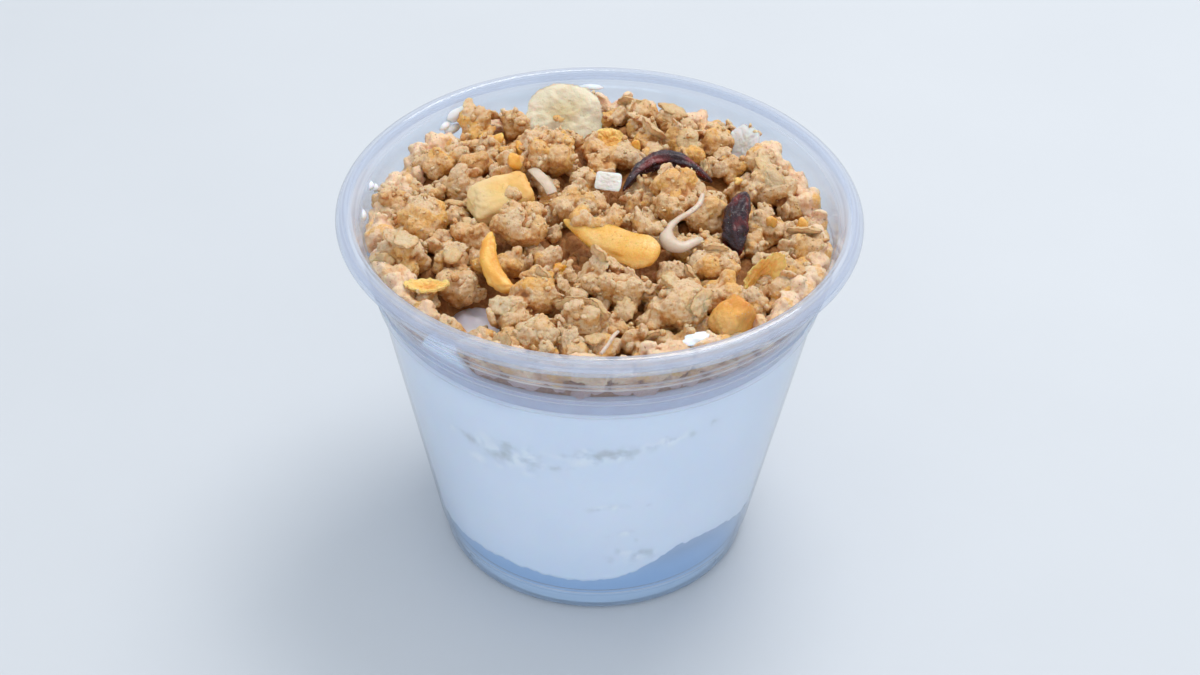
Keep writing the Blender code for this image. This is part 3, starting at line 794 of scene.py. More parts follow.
# %% [markdown]
# ## Granola clusters
#
# A cluster is toasted oats and puffed rice stuck together with syrup: a lump of 4 to
# 11 mm with rounded lobes about half as wide. Sculpting a hundred and more of them by hand
# is slow, and a displaced ball never gets the notches. So each is piled from small balls,
# flakes and crumbs. The larger ones stand where the photograph shows them, smaller ones
# fill the gaps between, and two rings of them press against the wall. All are fused with a
# voxel remesh, and noise roughens the result.

# %% Places from the photograph
# Toppings: x, y, azimuth in degrees, length and width.
TOPPINGS = {
    "banana_chip": (-0.0070, 0.0350, 4, 0.0152, 0.0124),
    "pale_chip": (0.0268, 0.0262, -35, 0.0062, 0.0070),
    "pineapple_chunk": (-0.0178, 0.0040, 20, 0.0122, 0.0088),
    "mango_strip": (-0.0188, -0.0165, -66, 0.0120, 0.0042),
    "apple_slice": (0.0016, -0.0098, -33, 0.0198, 0.0094),
    "cranberry_back": (0.0112, 0.0148, 12, 0.0168, 0.0050),
    "cranberry_side": (0.0240, -0.0030, 82, 0.0125, 0.0056),
    "papaya_chunk": (0.0228, -0.0285, 34, 0.0082, 0.0066),
    "corn_flake_left": (-0.0296, -0.0200, 4, 0.0078, 0.0050),
    "corn_flake_right": (0.0281, -0.0150, 40, 0.0098, 0.0052),
    "corn_flake_back": (0.0014, 0.0268, 6, 0.0066, 0.0052),
    "coconut_chip": (0.0014, 0.0090, -12, 0.0048, 0.0036),
}
# Places under the coconut shred, and its width, which clusters keep clear of too.
SHRED_BENDS = ((0.0178, 0.0018), (0.0160, -0.0018), (0.0136, -0.0046), (0.0119, -0.0068),
               (0.0116, -0.0090), (0.0128, -0.0108))
SHRED_DIAMETER = 0.0012
# Clusters seen in the photograph: x, y, radius and extra lift in millimetres, tone.
LEAD_CLUSTERS = (
    (-30.2, 19.7, 3, 0, 0.55), (-26.5, 20.9, 1.9, 0, 0.4), (-23.6, 30.8, 3.2, 1.4, 0.35),
    (-16.5, 32.3, 2.8, 0.3, 0.45), (-21.6, 22.5, 2.8, 0, 0.6), (-16.2, 13.2, 3, 2.4, 0.3),
    (-9.7, 17.7, 4.4, 1, 0.55), (-26, 11.8, 3, 0, 0.9), (-38.4, 6, 3.2, 1.8, 0.7),
    (-31.5, 0.6, 4.4, 0.5, 0.5), (-26.1, 3, 2.3, 0, 0.7), (-22.8, -5.2, 3.6, 0, 0.25),
    (-15.5, 3.2, 3.4, 1.4, 0.6), (-14.2, -5.3, 4.2, 2.2, 0.5), (-4.8, 3.1, 3.8, 0.5, 0.8),
    (-35.8, -10.2, 4.7, 0.3, 0.95), (-26.4, -10.6, 3, 0, 0.75), (-24.5, -16.3, 3.8, 0.2, 0.5),
    (-15.4, -12.3, 3, 0, 0.7), (-10.6, -21.1, 4.1, 0.2, 0.3), (-14.6, -26.1, 3.6, 0, 0.8),
    (-9.8, -31.3, 3.8, 0, 0.65), (-2.5, -29.7, 3.8, 0.5, 0.95), (1.4, -18.4, 4.5, -0.9, 0.98),
    (5, -21.6, 3.2, 0.6, 0.85), (11.9, -15, 2.4, 0.3, 0.85), (15.5, -8.2, 2.8, 0.5, 0.6),
    (18.9, -6.4, 2.6, 0.2, 0.5), (20.4, -13.1, 3.9, 0.4, 0.75), (14, -24.7, 4.7, 1, 0.85),
    (21.4, -20.5, 3.9, 0.4, 0.55), (6, -32, 2.4, 0, 0.45), (10.6, -31.8, 2.1, 0, 0.6),
    (13.9, 6.2, 4.1, 2.8, 0.4), (18.4, 2.5, 3.8, 0.8, 0.65), (21.1, 26.3, 3.2, 0.4, 0.4),
    (23.9, 18.3, 2.6, 0, 0.3), (28.8, 19.8, 3.2, 0.3, 0.5), (30.9, 12.5, 4.3, 0.5, 0.7),
    (28.6, 3.1, 2.8, 0.2, 0.75), (31.1, 1.1, 2.8, 0, 0.5), (37.7, 12.6, 1.5, 0, 0.2),
    (35.4, 8.5, 2.6, 0, 0.6), (36.3, -4.6, 3.9, 0.4, 0.7), (33.9, -10.8, 3.2, 0, 0.55),
    (27.2, -4.4, 2.6, 0, 0.35), (31.5, -17.2, 3.4, 0.2, 0.55), (27, -21, 2.6, 0, 0.85),
    (12.6, 1.8, 3, 2.2, 0.4), (3.5, 37.5, 1.9, 0.2, 0.45), (0.3, 35.9, 1.7, 0, 0.7),
    (6.7, 31.4, 2.3, 0, 0.7), (13.6, 34.3, 2.6, 0.3, 0.45), (14, 26.6, 3, 0, 0.6),
    (4.1, 20.1, 2.8, 0.3, 0.65), (-0.5, 21.7, 2.6, 0, 0.1), (10, 20.3, 2.3, 0, 0.55),
    (-7.9, 35.1, 2.1, 0, 0.5), (-12.6, 34.8, 1.5, 0, 0.35), (-2.8, 12.1, 2.6, 0, 0.6),
    (7.3, 11, 2.3, 0.2, 0.75), (-9.5, -11.2, 2.4, 0, 0.6), (-20.9, 7.4, 1.7, 0, 0.5),
    (1.9, -2.8, 1.7, 0, 0.4), (-4, -21.9, 2.4, 0.2, 0.7), (9.8, -27.1, 2.6, 0.3, 0.6),
    (0.5, -33.9, 2.4, 0, 0.8), (-34.8, -1.9, 2.3, 0, 0.6), (25.6, 10.7, 2.3, 0, 0.3),
    (-30.1, -19.9, 2.4, 0, 0.4), (17.5, -27.8, 2.3, 0, 0.6), (-7, -32.7, 2.3, 0, 0.55),
    (-3.4, -4.4, 2.2, 4.6, 0.8), (2.6, -5.4, 2.1, 5, 0.6), (7, -6.4, 1.8, 4.8, 0.75),
    (10, -6.8, 1.5, 4.2, 0.65), (-0.6, -6.4, 1.5, 4.8, 0.95), (-12.2, -3.6, 2.3, 4.2, 0.45),
    (-20.4, -13.4, 2, 2.6, 0.55), (-21.4, -28.8, 1.7, -0.4, 0.6), (-27.4, -25.4, 2, -0.4, 0.7),
)

# %% Find the places
LEAD_COUNT = len(LEAD_CLUSTERS)
FILL_SIZES = ((30, 0.0026, 0.0034), (64, 0.0016, 0.0024))
FILL_SPACING = 0.62
LEAD_GROWTH = 1.20
TOPPING_SPACING = 0.70
CLUSTER_LIFT = 0.30
FILL_DROP = 0.0006
TRIES = 2500
SEED = 7


def topping_spots():
    """Circles, as (x, y, radius), that cover each topping seen from above."""
    spots = []
    for x, y, azimuth, length, width in TOPPINGS.values():
        radius = min(length, width) / 2
        reach = length / 2 - radius
        turned = math.radians(azimuth)
        for share in (-1.0, 0.0, 1.0) if reach > radius else (0.0,):
            spots.append((x + share * reach * math.cos(turned),
                          y + share * reach * math.sin(turned), radius))
    return spots + [(x, y, SHRED_DIAMETER / 2) for x, y in SHRED_BENDS]


def cluster_sites():
    """Places of all clusters as (x, y, radius, lift, tone), the seen ones first."""
    draw = random.Random(SEED)
    spots = topping_spots()
    sites = [(x / 1000, y / 1000, radius / 1000 * LEAD_GROWTH, lift / 1000, tone)
             for x, y, radius, lift, tone in LEAD_CLUSTERS]
    for count, smallest, largest in FILL_SIZES:
        wanted = len(sites) + count
        for _ in range(TRIES):
            if len(sites) == wanted:
                break
            radius = draw.uniform(smallest, largest)
            out = (HEAP_RADIUS - radius * 0.55) * math.sqrt(draw.random())
            azimuth = draw.uniform(0, TAU)
            x, y = out * math.cos(azimuth), out * math.sin(azimuth)
            apart = math.hypot(x - HOLLOW_PLACE[0], y - HOLLOW_PLACE[1])
            if apart < HOLLOW_RADIUS + radius * 0.5:
                continue
            if any(math.hypot(x - sx, y - sy) < TOPPING_SPACING * radius + spot
                   for sx, sy, spot in spots):
                continue
            if any(math.hypot(x - site[0], y - site[1]) < FILL_SPACING * (radius + site[2])
                   for site in sites):
                continue
            sites.append((x, y, radius, draw.uniform(-FILL_DROP, FILL_DROP), draw.random()))
    return sites


sites = cluster_sites()
print("clusters:", len(sites))


# %% Piling small things into one mesh
class Pile:
    """Many small shapes joined into one list of points and faces, with a tone each."""

    def __init__(self):
        self.points = []
        self.faces = []
        self.tones = []
        self.grains = []
        self.count = 0

    def add(self, points, faces, tone=0.5):
        """Put in one more shape."""
        self.faces += [tuple(index + self.count for index in face) for face in faces]
        self.points.append(points)
        self.tones.append(np.zeros(len(points)) + tone)
        self.count += len(points)

    def mesh(self, name):
        """Mesh of all the shapes."""
        mesh = mesh_of(name, np.concatenate(self.points).tolist(), self.faces)
        tinge(mesh, np.concatenate(self.tones))
        return mesh


def ball(subdivisions):
    """Points and faces of an icosphere of radius 1."""
    bm = bmesh.new()
    bmesh.ops.create_icosphere(bm, subdivisions=subdivisions, radius=1.0)
    points = np.array([vertex.co for vertex in bm.verts])
    faces = [tuple(vertex.index for vertex in face.verts) for face in bm.faces]
    bm.free()
    return points, faces


def placed(points, sizes, spin, place):
    """Points stretched by sizes, turned by an Euler and moved to a place."""
    turned = np.array(spin.to_matrix())
    return (points * sizes) @ turned.T + np.array(place)


def any_spin(draw):
    """Random turn."""
    return Euler([draw.uniform(0, TAU) for _ in range(3)])


# %% Keep off the toppings
solid_toppings = [BVHTree.FromPolygons([v.co for v in node.data.vertices],
                                       [tuple(p.vertices) for p in node.data.polygons])
                  for name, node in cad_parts.items()
                  if name not in ("cup", "yogurt", "granola")]


def room(point):
    """Distance from a point to the nearest topping, or 0 inside one."""
    nearest = None
    for tree in solid_toppings:
        spot, normal, _, away = tree.find_nearest(point)
        if (Vector(point) - spot).dot(normal) < 0 and away < 0.003:
            return 0.0
        nearest = away if nearest is None else min(nearest, away)
    return nearest


# %% Pile each cluster
BALL_POINTS, BALL_FACES = ball(2)
# How far clusters may sink into a topping: the seen ones, and all the others.
INTO_TOPPING = (0.0034, 0.0006)
SMALLEST_BALL, SMALLEST_GRAIN = 0.0005, 0.0009
HEART, LOBES, LOBE_REACH = 0.76, (0.34, 0.56), (0.98, 1.10)
FLAKE_LENGTHS, FLAKE_WIDTHS, FLAKE_HALF = (0.0016, 0.0024), (0.0013, 0.0018), 0.00060
CRUMB_SIZES = (0.00045, 0.00080)


def add_ball(pile, draw, place, size, into, tone, honey=0.0):
    """Uneven ball, made smaller where a topping is in its way."""
    size = min(size, room(place) + into)
    if size < SMALLEST_BALL:
        return
    sizes = (size * draw.uniform(1.0, 1.22), size * draw.uniform(0.86, 1.0),
             size * draw.uniform(0.74, 0.95))
    pile.add(placed(BALL_POINTS, sizes, any_spin(draw), place), BALL_FACES, tone)
    if size > SMALLEST_GRAIN:
        pile.grains.append((place, tone, honey))


def aim(draw, lowest):
    """Random direction that doesn't point further down than lowest."""
    up = draw.uniform(lowest, 1)
    around = draw.uniform(0, TAU)
    flat = math.sqrt(1 - up * up)
    return Vector((flat * math.cos(around), flat * math.sin(around), up))


def add_flat(pile, draw, place, normal, sizes, tone):
    """Flake laid on a surface, left out where a topping is in its way."""
    if room(place) > max(sizes) * 0.6:
        turned = np.array(leaning(normal, draw, 0.40))
        pile.add((BALL_POINTS * sizes) @ turned.T + np.array(place), BALL_FACES, tone)
        pile.grains.append((place, tone, 0.0))


def add_cluster(pile, draw, centre, radius, tone, into):
    """Round heart with puffed lobes, flakes stuck on it and crumbs on its skin."""
    lobes = [(centre, radius * HEART)]
    for _ in range(4 + round(radius / 0.0012)):
        size = radius * draw.uniform(*LOBES)
        out = radius * draw.uniform(*LOBE_REACH) - size
        lobes.append((centre + aim(draw, -0.3) * out, size))
    for place, size in lobes:
        mixed = tone * 0.6 + draw.random() * 0.4
        add_ball(pile, draw, place, size, into, mixed, draw.random() ** 1.5 * (1.2 - tone * 0.5))
    for _ in range(round(radius / 0.0024)):
        way = aim(draw, 0.0)
        add_flat(pile, draw, centre + way * radius * draw.uniform(0.88, 0.98), way,
                 (draw.uniform(*FLAKE_LENGTHS), draw.uniform(*FLAKE_WIDTHS), FLAKE_HALF),
                 0.7 + tone * 0.3)
    for _ in range(round((radius / 0.0010) ** 2 * 0.32)):
        place, size = draw.choice(lobes)
        crumb = draw.uniform(*CRUMB_SIZES)
        add_ball(pile, draw, place + aim(draw, -0.2) * (size * 0.90), crumb, into, tone)


def leaning(normal, draw, lean):
    """Rotation that lays a flat thing on a surface, turned at random and tilted a little."""
    tilt = Euler((draw.gauss(0, lean), draw.gauss(0, lean), draw.uniform(0, TAU))).to_matrix()
    return normal.to_track_quat('Z', 'Y').to_matrix() @ tilt


# %% Pile the heap
SMALL_CLUSTER = 0.0031
draw = random.Random(SEED + 1)
front, back, small, band = Pile(), Pile(), Pile(), Pile()
for index, (x, y, radius, lift, tone) in enumerate(sites):
    add_cluster(small if radius < SMALL_CLUSTER else back if y > 0 else front, draw,
                Vector((x, y, core_top(x, y) + CLUSTER_LIFT * radius + lift)), radius, tone,
                INTO_TOPPING[0 if index < LEAD_COUNT else 1])

# Smaller lumps that press against the wall and show through the neck, in two rings:
# number, lowest and highest middle, smallest and largest radius.
WALL_RINGS = ((72, 0.0606, 0.0620, 0.0018, 0.0027), (56, 0.0640, 0.0664, 0.0025, 0.0036))
# None is laid where the yogurt stands up more than this.
PEEK_CLEAR = 0.0012
for count, lowest, highest, smallest, largest in WALL_RINGS:
    for index in range(count):
        azimuth = TAU * (index + draw.uniform(-0.3, 0.3)) / count
        radius = draw.uniform(smallest, largest)
        height = draw.uniform(lowest, highest)
        out = inner_radius(height) + STEP_OUT - radius * 0.75
        place = Vector((out * math.cos(azimuth), out * math.sin(azimuth), height))
        tone = draw.random()
        if peek(place.x, place.y) < PEEK_CLEAR:
            add_cluster(band, draw, place, radius, tone, INTO_TOPPING[1])
print("shapes to fuse:", [len(pile.points) for pile in (front, back, small, band)])


# %% Fuse
def coordinates(mesh):
    """Points of a mesh as an array."""
    flat = np.zeros(len(mesh.vertices) * 3)
    mesh.vertices.foreach_get("co", flat)
    return flat.reshape(-1, 3)


def normals(mesh):
    """Normals of a mesh's points as an array."""
    flat = np.zeros(len(mesh.vertices) * 3)
    mesh.vertex_normals.foreach_get("vector", flat)
    return flat.reshape(-1, 3)


def fused(name, mesh, voxel):
    """One skin over all the overlapping shapes of a mesh."""
    raw = bpy.data.objects.new(name + "_raw", mesh)
    bpy.context.scene.collection.objects.link(raw)
    fuse = raw.modifiers.new("fuse", 'REMESH')
    fuse.mode = 'VOXEL'
    fuse.voxel_size = voxel
    soften_skin = raw.modifiers.new("soften", 'SMOOTH')
    soften_skin.factor = 0.5
    soften_skin.iterations = 3
    bpy.context.view_layer.update()
    skin = bpy.data.meshes.new_from_object(
        raw.evaluated_get(bpy.context.evaluated_depsgraph_get()))
    bpy.data.objects.remove(raw)
    skin.name = name
    return skin


# %% Roughen
# Roughness of the clusters' skin as size and depth: uneven lumps, round grains, crumbs.
LUMPS, GRAINS, CRUMBS = (0.0024, 0.00038), (0.0012, 0.00030), (0.00065, 0.00016)


def crumbled(mesh):
    """Points of a mesh pushed in and out by lumps, grains and crumbs."""
    points = coordinates(mesh)
    push = [LUMPS[1] * noise.noise(Vector(p / LUMPS[0]))
            + GRAINS[1] * (bumps(p, GRAINS[0]) - 0.45)
            + CRUMBS[1] * noise.noise(Vector(p / CRUMBS[0])) for p in points]
    return points + normals(mesh) * np.array(push)[:, None]


def bared(mesh, keep):
    """Leave out the points that are hidden for good, with their faces, and loose points."""
    bm = bmesh.new()
    bm.from_mesh(mesh)
    hidden = [vertex for vertex, kept in zip(bm.verts, keep) if not kept]
    bmesh.ops.delete(bm, geom=hidden, context='VERTS')
    loose = [vertex for vertex in bm.verts if not vertex.link_faces]
    bmesh.ops.delete(bm, geom=loose, context='VERTS')
    bm.to_mesh(mesh)
    bm.free()


# %% Hollows
# How far each point lies in a hollow, where the granola finish paints shade.
SMOOTHINGS = 36
HOLLOW = 0.00050


def hollows(mesh):
    """From 0 on bumps to 1 in hollows: how far each point lies under its smoothed skin."""
    ends = np.zeros(len(mesh.edges) * 2, int)
    mesh.edges.foreach_get("vertices", ends)
    first, second = ends.reshape(-1, 2).T
    points = coordinates(mesh)
    count = len(points)
    neighbours = np.bincount(first, minlength=count) + np.bincount(second, minlength=count)
    smooth = points
    for _ in range(SMOOTHINGS):
        smooth = np.stack([np.bincount(first, smooth[second, axis], count)
                           + np.bincount(second, smooth[first, axis], count)
                           for axis in range(3)], 1) / neighbours[:, None]
    under = ((smooth - points) * normals(mesh)).sum(1)
    return np.clip(0.5 + under / HOLLOW / 2, 0, 1)


# %% Make the clusters
CLEAR = 0.0001


def confined(points):
    """Points kept just above the yogurt and just inside the wall."""
    for point in points:
        point[2] = max(point[2], yogurt_top(point[0], point[1]) + CLEAR)
        out = math.hypot(point[0], point[1])
        reach = inner_radius(point[2]) + STEP_OUT - CLEAR
        if out > reach:
            point[0] *= reach / out
            point[1] *= reach / out
    return points


def cluster_mesh(name, pile, voxel, cover):
    """Fused, roughened skin of a pile, with its grains' tones and its hollows."""
    mesh = fused(name, pile.mesh(name + "_balls"), voxel)
    points = confined(crumbled(mesh))
    mesh.vertices.foreach_set("co", points.ravel())
    if cover:
        bared(mesh, [z > core_top(x, y) - cover for x, y, z in points])
    mesh.update()
    nearest = KDTree(len(pile.grains))
    for index, (place, _, _) in enumerate(pile.grains):
        nearest.insert(place, index)
    nearest.balance()
    grains = [pile.grains[nearest.find(vertex.co)[1]] for vertex in mesh.vertices]
    tinge(mesh, [grain[1] for grain in grains])
    tinge(mesh, [grain[2] for grain in grains], "honey")
    tinge(mesh, hollows(mesh), "hollow")
    return mesh


COVER = 0.0022
granola_finish = toasted("granola_toasted", (0.75, 0.535, 0.32), (0.745, 0.405, 0.138),
                         (0.54, 0.20, 0.040))
# The lumps at the wall wear a lighter copy of the granola: painted light against the shade under
# the lip.
band_painted_light_finish = toasted("granola_at_wall_painted_light", (0.94, 0.68, 0.46), (0.90, 0.57, 0.33),
                      (0.72, 0.38, 0.20), 0.85)
heap = [dress(name, cluster_mesh(name, pile, voxel, cover), [finish], "granola", "granola")
        for name, pile, voxel, cover, finish in (
            ("granola_clusters", front, 0.00031, COVER, granola_finish),
            ("granola_clusters_back", back, 0.00034, COVER, granola_finish),
            ("granola_nuggets", small, 0.00034, COVER, granola_finish),
            ("granola_band", band, 0.00042, 0.0, band_painted_light_finish))]

# %% [markdown]
# ## Rolled oats
#
# Rolled oats are flat ovals, here 4 to 6 mm long and a little over a millimetre thick,
# with a faint groove and an uneven edge. They lie stuck to the clusters at odd angles. Each
# is a bent sheet with two faces, laid on a spot of the clusters' own surface, so that none
# floats: some where the photograph shows them, the others at random where it faces up.


# %% Spots on the clusters
def surface_spots(meshes, count, draw, least_up):
    """Random (place, normal) pairs on upward faces, spread evenly by area."""
    spots, weights = [], []
    for mesh in meshes:
        for polygon in mesh.polygons:
            if polygon.normal.z > least_up:
                spots.append((polygon.center.copy(), polygon.normal.copy()))
                weights.append(polygon.area)
    return draw.choices(spots, weights, k=count)


heap_skins = [piece.data for piece in heap[:3]]
print("spots to choose from:", sum(len(mesh.polygons) for mesh in heap_skins))

# %% Rolled oats
OAT_RINGS, OAT_STEPS = 9, 36
OAT_COUNT = 26
OAT_ROOM = 0.0014


def round_sheet(rings, steps, sides=(1, -1)):
    """Side, share of the way out and azimuth of each point of a round sheet."""
    return [(side, ring / (rings - 1), TAU * step / steps)
            for side in sides for ring in range(rings) for step in range(steps)]


def two_sided(rings, steps):
    """Faces of a round sheet with a top, an underside and the edge between them."""
    last = (rings - 1) * steps
    below = last + rings * steps
    top = tube_faces(rings, steps)
    under = [face[::-1] for face in tube_faces(rings, steps, rings * steps)]
    edge = [(last + step, below + step, below + (step + 1) % steps, last + (step + 1) % steps)
            for step in range(steps)]
    return top + under + edge


def oat_shape(draw, length, width, thickness):
    """Plump oval flake with a groove along it and a wavy edge, as points and tones."""
    seed = draw.uniform(0, 90)
    dish = draw.uniform(-0.0002, 0.0004)
    twist = draw.uniform(-0.15, 0.15)
    points, tones = [], []
    for side, out, azimuth in round_sheet(OAT_RINGS, OAT_STEPS):
        share = math.sin(math.pi / 2 * out)
        cos, sin = math.cos(azimuth), math.sin(azimuth)
        uneven = 1 + 0.30 * share * wobble(cos * 1.4, sin * 1.4, seed)
        uneven += 0.20 * share * wobble(cos * 4, sin * 4, seed)
        x = share * uneven * cos * length / 2
        y = share * uneven * sin * width / 2
        groove = math.exp(-(y / 0.00030) ** 2) * (1 - share ** 4) * (side > 0)
        thick = thickness / 2 * (1 - share ** 2.6) ** 0.5
        wave = 0.00030 * share * wobble(cos * 2.2, sin * 2.2, seed + 9)
        wave += 0.00036 * wobble(x * 700, y * 700, seed)
        wave += 0.00014 * wobble(x * 1800, y * 1800, seed)
        height = side * thick - 0.00005 * groove + wave + twist * x * y / width
        height += dish * ((x / length * 2) ** 2 + (y / width * 2) ** 2)
        points.append((x, y, height))
        tones.append(0.86 - 0.24 * share ** 3 - 0.08 * groove)
    return np.array(points), np.array(tones)


# %% Lay the oats
oats = Pile()
oat_faces = two_sided(OAT_RINGS, OAT_STEPS)
LEAD_OATS = ((-0.0352, -0.0150), (-0.0004, -0.0345), (-0.0015, -0.0231), (0.0003, -0.0289),
             (-0.0040, -0.0262), (0.0046, -0.0259), (0.0125, -0.0225), (0.0160, -0.0150),
             (0.0002, -0.0165), (-0.0080, -0.0290), (-0.0255, -0.0130), (-0.0092, -0.0201),
             (0.0205, -0.0105), (-0.0262, 0.0060))
heap_trees = [BVHTree.FromPolygons([v.co for v in mesh.vertices],
                                   [tuple(p.vertices) for p in mesh.polygons])
              for mesh in heap_skins + [core.data]]


def on_heap(x, y):
    """Highest (place, normal) of the clusters under a point."""
    hits = [tree.ray_cast(Vector((x, y, 0.09)), Vector((0, 0, -1))) for tree in heap_trees]
    place, normal, _, _ = max((hit for hit in hits if hit[0]), key=lambda hit: hit[0].z)
    return place, normal


oat_spots = [on_heap(x, y) for x, y in LEAD_OATS]
oat_spots += surface_spots(heap_skins, OAT_COUNT, draw, 0.15)
print("oats to lay:", len(oat_spots))
for place, normal in oat_spots:
    length = draw.uniform(0.0042, 0.0060)
    if room(place) < OAT_ROOM:
        continue
    shape, shape_tones = oat_shape(draw, length, length * draw.uniform(0.66, 0.84),
                                   draw.uniform(0.0012, 0.0017))
    turned = np.array(leaning(normal, draw, 0.22))
    laid = shape @ turned.T + np.array(place - normal * 0.0001)
    oats.add(confined(laid), oat_faces, shape_tones * draw.uniform(0.8, 1.0))

# %% Finish of the oats
oat_finish = Finish("rolled_oat")
oat_tone = oat_finish.reads("tone")
fibre = oat_finish.grain(0.0006, 4, 0.7)
toast = oat_finish.grain(0.0040, 2)
oat_colour = oat_finish.ramp(oat_tone * 0.7 + toast * 0.3,
                             (0.38, (0.58, 0.29, 0.085)), (0.56, (0.70, 0.47, 0.225)),
                             (0.78, (0.74, 0.58, 0.38)))
oat_finish.wear(
    Base_Color=oat_finish.blend(fibre.between(0.50, 0.62) * 0.45, oat_colour,
                                (0.56, 0.28, 0.095)),
    Roughness=fibre.between(0.3, 0.7, 0.40, 0.62), Subsurface_Weight=0.4,
    Subsurface_Scale=0.0010, Normal=oat_finish.bump(fibre, 0.00045))
dress("rolled_oats", oats.mesh("rolled_oats"), [oat_finish], "granola", "granola")

# %% [markdown]
# ## Dried fruit and flakes
#
# Each topping keeps the place, the tilt and the outline of its CAD solid and gets finer
# form: a chip curls and frays at its edge, a pebble wrinkles as it dries, a cut cube has
# soft corners and sunken faces. Three shapes with a few settings make all of them.


# %% Seat a topping
def seated(name, points, tip):
    """Tip a topping, turn it and set it at the place and height of its CAD solid."""
    x, y, azimuth = TOPPINGS[name][:3]
    spin = Euler((math.radians(tip[0]), math.radians(tip[1]), math.radians(azimuth)))
    points = placed(points, (1, 1, 1), spin, (x, y, 0.0))
    low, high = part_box(name)
    points[:, 2] += (low.z + high.z - points[:, 2].min() - points[:, 2].max()) / 2
    return points


def topping(name, slot, finish, tip, shape, thickness, **form):
    """Piece that stands for one CAD topping: a chip, pebble or cube, tipped by two angles."""
    points, faces, tones = shape(name, thickness, **form)
    mesh = mesh_of(name + "_real", seated(name, points, tip).tolist(), faces)
    tinge(mesh, tones)
    return dress(name + "_real", mesh, [finish], slot, name)


# %% Chips
CHIP_RINGS, CHIP_STEPS = 18, 96


def chip(name, thickness, blister, curl=0.0, roll=0.0, ripple=0.0, ragged=0.05, square=2.0):
    """Thin slice: a sheet whose edge frays and thins out; square above 2 gives it corners."""
    length, width = TOPPINGS[name][3:]
    points, tones = [], []
    for side, share, azimuth in round_sheet(CHIP_RINGS, CHIP_STEPS):
        cos, sin = math.cos(azimuth), math.sin(azimuth)
        x, y = share * cos, share * sin
        corner = (abs(cos) ** square + abs(sin) ** square) ** (-1 / square)
        uneven = corner + 0.10 * wobble(x * 1.3, y * 1.3, length * 900)
        fray = wobble(x * 5, y * 5, length * 700)
        fray += 0.6 * wobble(x * 13, y * 13, length * 800)
        uneven += ragged * share * share * fray
        height = curl * x * x + roll * y * y
        height += ripple * math.sin(4 * azimuth) * share * share
        height += blister * wobble(x * 4, y * 4, length * 500)
        height += blister * 0.5 * wobble(x * 9, y * 9, length * 300)
        thin = thickness / 2 * math.sqrt(1 - 0.85 * share ** 6)
        points.append((x * uneven * length / 2, y * uneven * width / 2, height + side * thin))
        tones.append(share)
    return np.array(points), two_sided(CHIP_RINGS, CHIP_STEPS), tones


# %% Pebbles and cubes
def sphere_grid(rows=40, columns=64):
    """Points and faces of a sphere of radius 1 with its poles on X."""
    angles = [math.pi * row / (rows - 1) for row in range(rows)]
    points = [(math.cos(angle), math.sin(angle) * cos, math.sin(angle) * sin)
              for angle in angles for cos, sin in circle(columns)]
    return points, tube_faces(rows, columns)


def pebble(name, thickness, bend, wrinkle, crease, taper=0.0, slim=1.0, bump=0.08,
           blunt=(1.0, 1.0)):
    """Plump or wrinkled piece: a ball stretched, tapered, bent and dented.

    Its wrinkles are about crease metres apart. The two numbers of blunt fill out its near
    and its far end where they are below 1.
    """
    length, width = TOPPINGS[name][3:]
    ball_grid, faces = sphere_grid()
    points, tones = [], []
    for x, y, z in ball_grid:
        uneven = 1 + bump * noise.noise(Vector((x, y, z)) * 1.7 + Vector((length * 900, 0, 0)))
        fold = 1 - abs(noise.noise(Vector((x * length / 2, y * width / 2, z * thickness / 2))
                                   / crease + Vector((length * 300, 0, 0)))) * 2
        uneven += wrinkle * (0.5 - fold)
        narrow = (1 - taper * (1 - x) / 2) * uneven
        x = math.copysign(abs(x) ** blunt[x > 0], x)
        points.append((x * length / 2, y * narrow * slim * width / 2 + bend * x * x,
                       z * narrow * thickness / 2))
        tones.append(0.5 + 0.5 * wobble(x * 1.5, y * 1.5, z * 1.5 + length * 50))
    return np.array(points), faces, tones


def cube(name, thickness, roundness, wedge, rough):
    """Cut cube with soft edges and sunken faces, thicker at one end by its wedge."""
    length, width = TOPPINGS[name][3:]
    ball_grid, faces = sphere_grid(48, 72)
    points, tones = [], []
    for x, y, z in ball_grid:
        norm = (abs(x) ** roundness + abs(y) ** roundness + abs(z) ** roundness) \
            ** (1 / roundness)
        x, y, z = x / norm / 2, y / norm / 2, z / norm / 2
        middle = sorted((abs(x), abs(y), abs(z)))[1] * 2
        dent = 1 - 0.05 * (1 - middle ** 2)
        dent += rough * wobble(x * 3, y * 3, z * 3 + 7)
        dent += rough * 0.5 * wobble(x * 8, y * 8, z * 8 + 7)
        narrow = 1.0 - 0.14 * (z + 0.5)
        points.append(((x * narrow + 0.10 * z) * dent * length, y * narrow * dent * width,
                       z * dent * thickness * (1 + wedge * x)))
        tones.append(0.5 - 0.9 * x + 0.3 * (middle - 0.5))
    return np.array(points), faces, tones


# %% [markdown]
# ## Finishes of the toppings
#
# Dried fruit is translucent, oily and uneven in colour: paler where it is thin, deeper in
# its folds, with grains of sugar on it. One function makes all the fruit finishes from
# three colours, because only the colours and the gloss differ.


